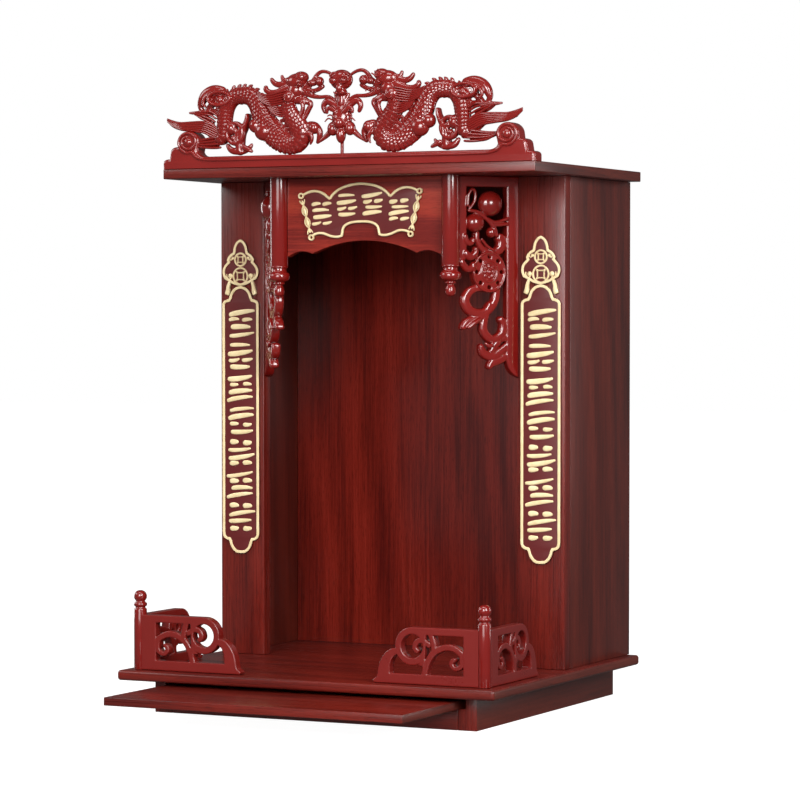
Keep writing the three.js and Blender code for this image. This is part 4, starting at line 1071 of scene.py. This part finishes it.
def maskDetail(wood):
    for side in (-1, 1):
        ring = [(x, z, 1) for x, z in arc(side * 8.4, 106, 5, 5, 0, 360, 12)]
        wood.stroke(ring, y=-14.6, flat=1, sides=8, step=1.5, blunt=0.2)
        wood.bead(side * 8.4, -15, 106, 2.2, 1.8, 2.2, 14, 8)
        for k in range(4):
            wood.stroke(sided(side, (3 + 3 * k, 60 - 4 * k, 1), (7 + 4 * k, 66 - 5 * k, 1.3),
                (12 + 4.4 * k, 70 - 8 * k, 0.8)), y=-9.5 + 0.8 * k, flat=0.9, sides=8, step=2)
        wood.stroke(
            sided(side, (2, 88, 1.2), (6, 87, 1.4), (9, 89.5, 0.9)), y=-10.6, flat=0.9, sides=8, step=1.5)


def makeCarving(look):
    forms = Carving()
    for part in (carveBody, finRow, carveHead, carveLimbs, carveTail):
        part(forms)
    dragon = blend("dragonRight", [forms.piece("dragonForms")], look["grain"], 3, look["keep"])
    detail = Carving()
    scaleCoat(detail, scaleLook)
    hair(detail)
    faceDetail(detail)
    dragon = joinUp("dragonRight", [dragon, detail.piece("dragonDetail")])
    twin = copyOf(dragon, "dragonLeft", mirrorX)
    forms = Carving()
    carveMask(forms)
    mask = blend("mask", [forms.piece("maskForms")], look["grain"], 3, look["keep"])
    detail = Carving()
    maskDetail(detail)
    whole = joinUp("dragonCarving", [dragon, twin, mask, detail.piece("maskDetail")])
    whole.data.transform(Matrix.Translation((look["shift"] * mm, look["y"] * mm, heights["crest"] * mm)))
    dress(whole, ["dragon_carving"], [redLacquer], smooth=45)


makeCarving(dragonLook)
print("dragons and mask carved")

# pale floor and soft studio light, brighter in front than behind
studio = {"floor": (0.32, 0.318, 0.315), "glow": 0.97, "front": 0.20, "behind": 0.10, "backdrop": 1.0}


def makeStudio(look):
    finish = Finish("studioFloor")
    haze = finish.noise(finish.place(), 3, 2)
    colour = finish.mix(haze, look["floor"], tuple(c * 1.03 for c in look["floor"]))
    glow = {"Emission_Color": (1, 1, 1, 1), "Emission_Strength": look["glow"]}
    floorLook = finish.done(Base_Color=colour, Roughness=haze * 0.1 + 0.5, **glow)
    deselectAll()
    bpy.ops.mesh.primitive_plane_add(size=30, location=(0, 0, 0))
    floor = bpy.context.object
    floor.name = "studioFloor"
    floor.data.materials.append(floorLook)
    floor.visible_diffuse = floor.visible_glossy = False  # so that it throws no light back up
    world = bpy.data.worlds.new("studioSky")
    bpy.context.scene.world = world
    world.use_nodes = True
    tree = world.node_tree
    tree.nodes.clear()
    kinds = "TexCoord SeparateXYZ MapRange Background Background LightPath MixShader OutputWorld".split()
    nodes = [tree.nodes.new("ShaderNode" + kind) for kind in kinds]
    spot, split, spread, sky, drop, ray, choose, out = nodes
    for name, value in (("From Min", -0.35), ("From Max", 0.45), ("To Min", look["front"]),
            ("To Max", look["behind"])):
        spread.inputs[name].default_value = value
    drop.inputs["Strength"].default_value = look["backdrop"]
    for node in (sky, drop):
        node.inputs["Color"].default_value = (1, 1, 1, 1)
    links = (
        (spot.outputs["Generated"], split.inputs[0]),
        (split.outputs["Y"], spread.inputs["Value"]),
        (spread.outputs[0], sky.inputs["Strength"]),
        (ray.outputs["Is Camera Ray"], choose.inputs["Fac"]),
        (sky.outputs[0], choose.inputs[1]),
        (drop.outputs[0], choose.inputs[2]),
        (choose.outputs[0], out.inputs["Surface"]))
    for one, two in links:
        tree.links.new(one, two)


def softbox(name, azimuth, lift, reach, size, radiance, aim=(0, 0.05, 0.5)):
    turn, rise = radians(azimuth), radians(lift)
    away = Vector((sin(turn) * cos(rise), -cos(turn) * cos(rise), sin(rise)))
    deselectAll()
    bpy.ops.object.light_add(type="AREA", location=Vector(aim) + away * reach)
    lamp = bpy.context.object
    lamp.name = name
    lamp.data.shape = "RECTANGLE"
    lamp.data.size, lamp.data.size_y = size
    lamp.data.energy = radiance * pi * size[0] * size[1]
    lamp.rotation_euler = away.to_track_quat("Z", "Y").to_euler()


makeStudio(studio)
softbox("keyRight", 54, 19, 3.2, (0.9, 1.8), 19)
softbox("frontHigh", 10, 17, 3.4, (1.3, 0.9), 19)
softbox("frontLow", 8, 3, 3.8, (2.0, 1.2), 5)
softbox("fillLeft", -58, 26, 3.4, (1.2, 1.2), 6)
softbox("rimLeft", -98, 8, 2.4, (0.25, 1.6), 12)
softbox("rimRight", 122, 8, 2.4, (0.25, 1.6), 12)
softbox("above", 0, 62, 2.2, (2.0, 0.45), 8, (0, -0.1, 0.85))
bpy.context.scene.view_settings.view_transform = "Standard"

print("finished")
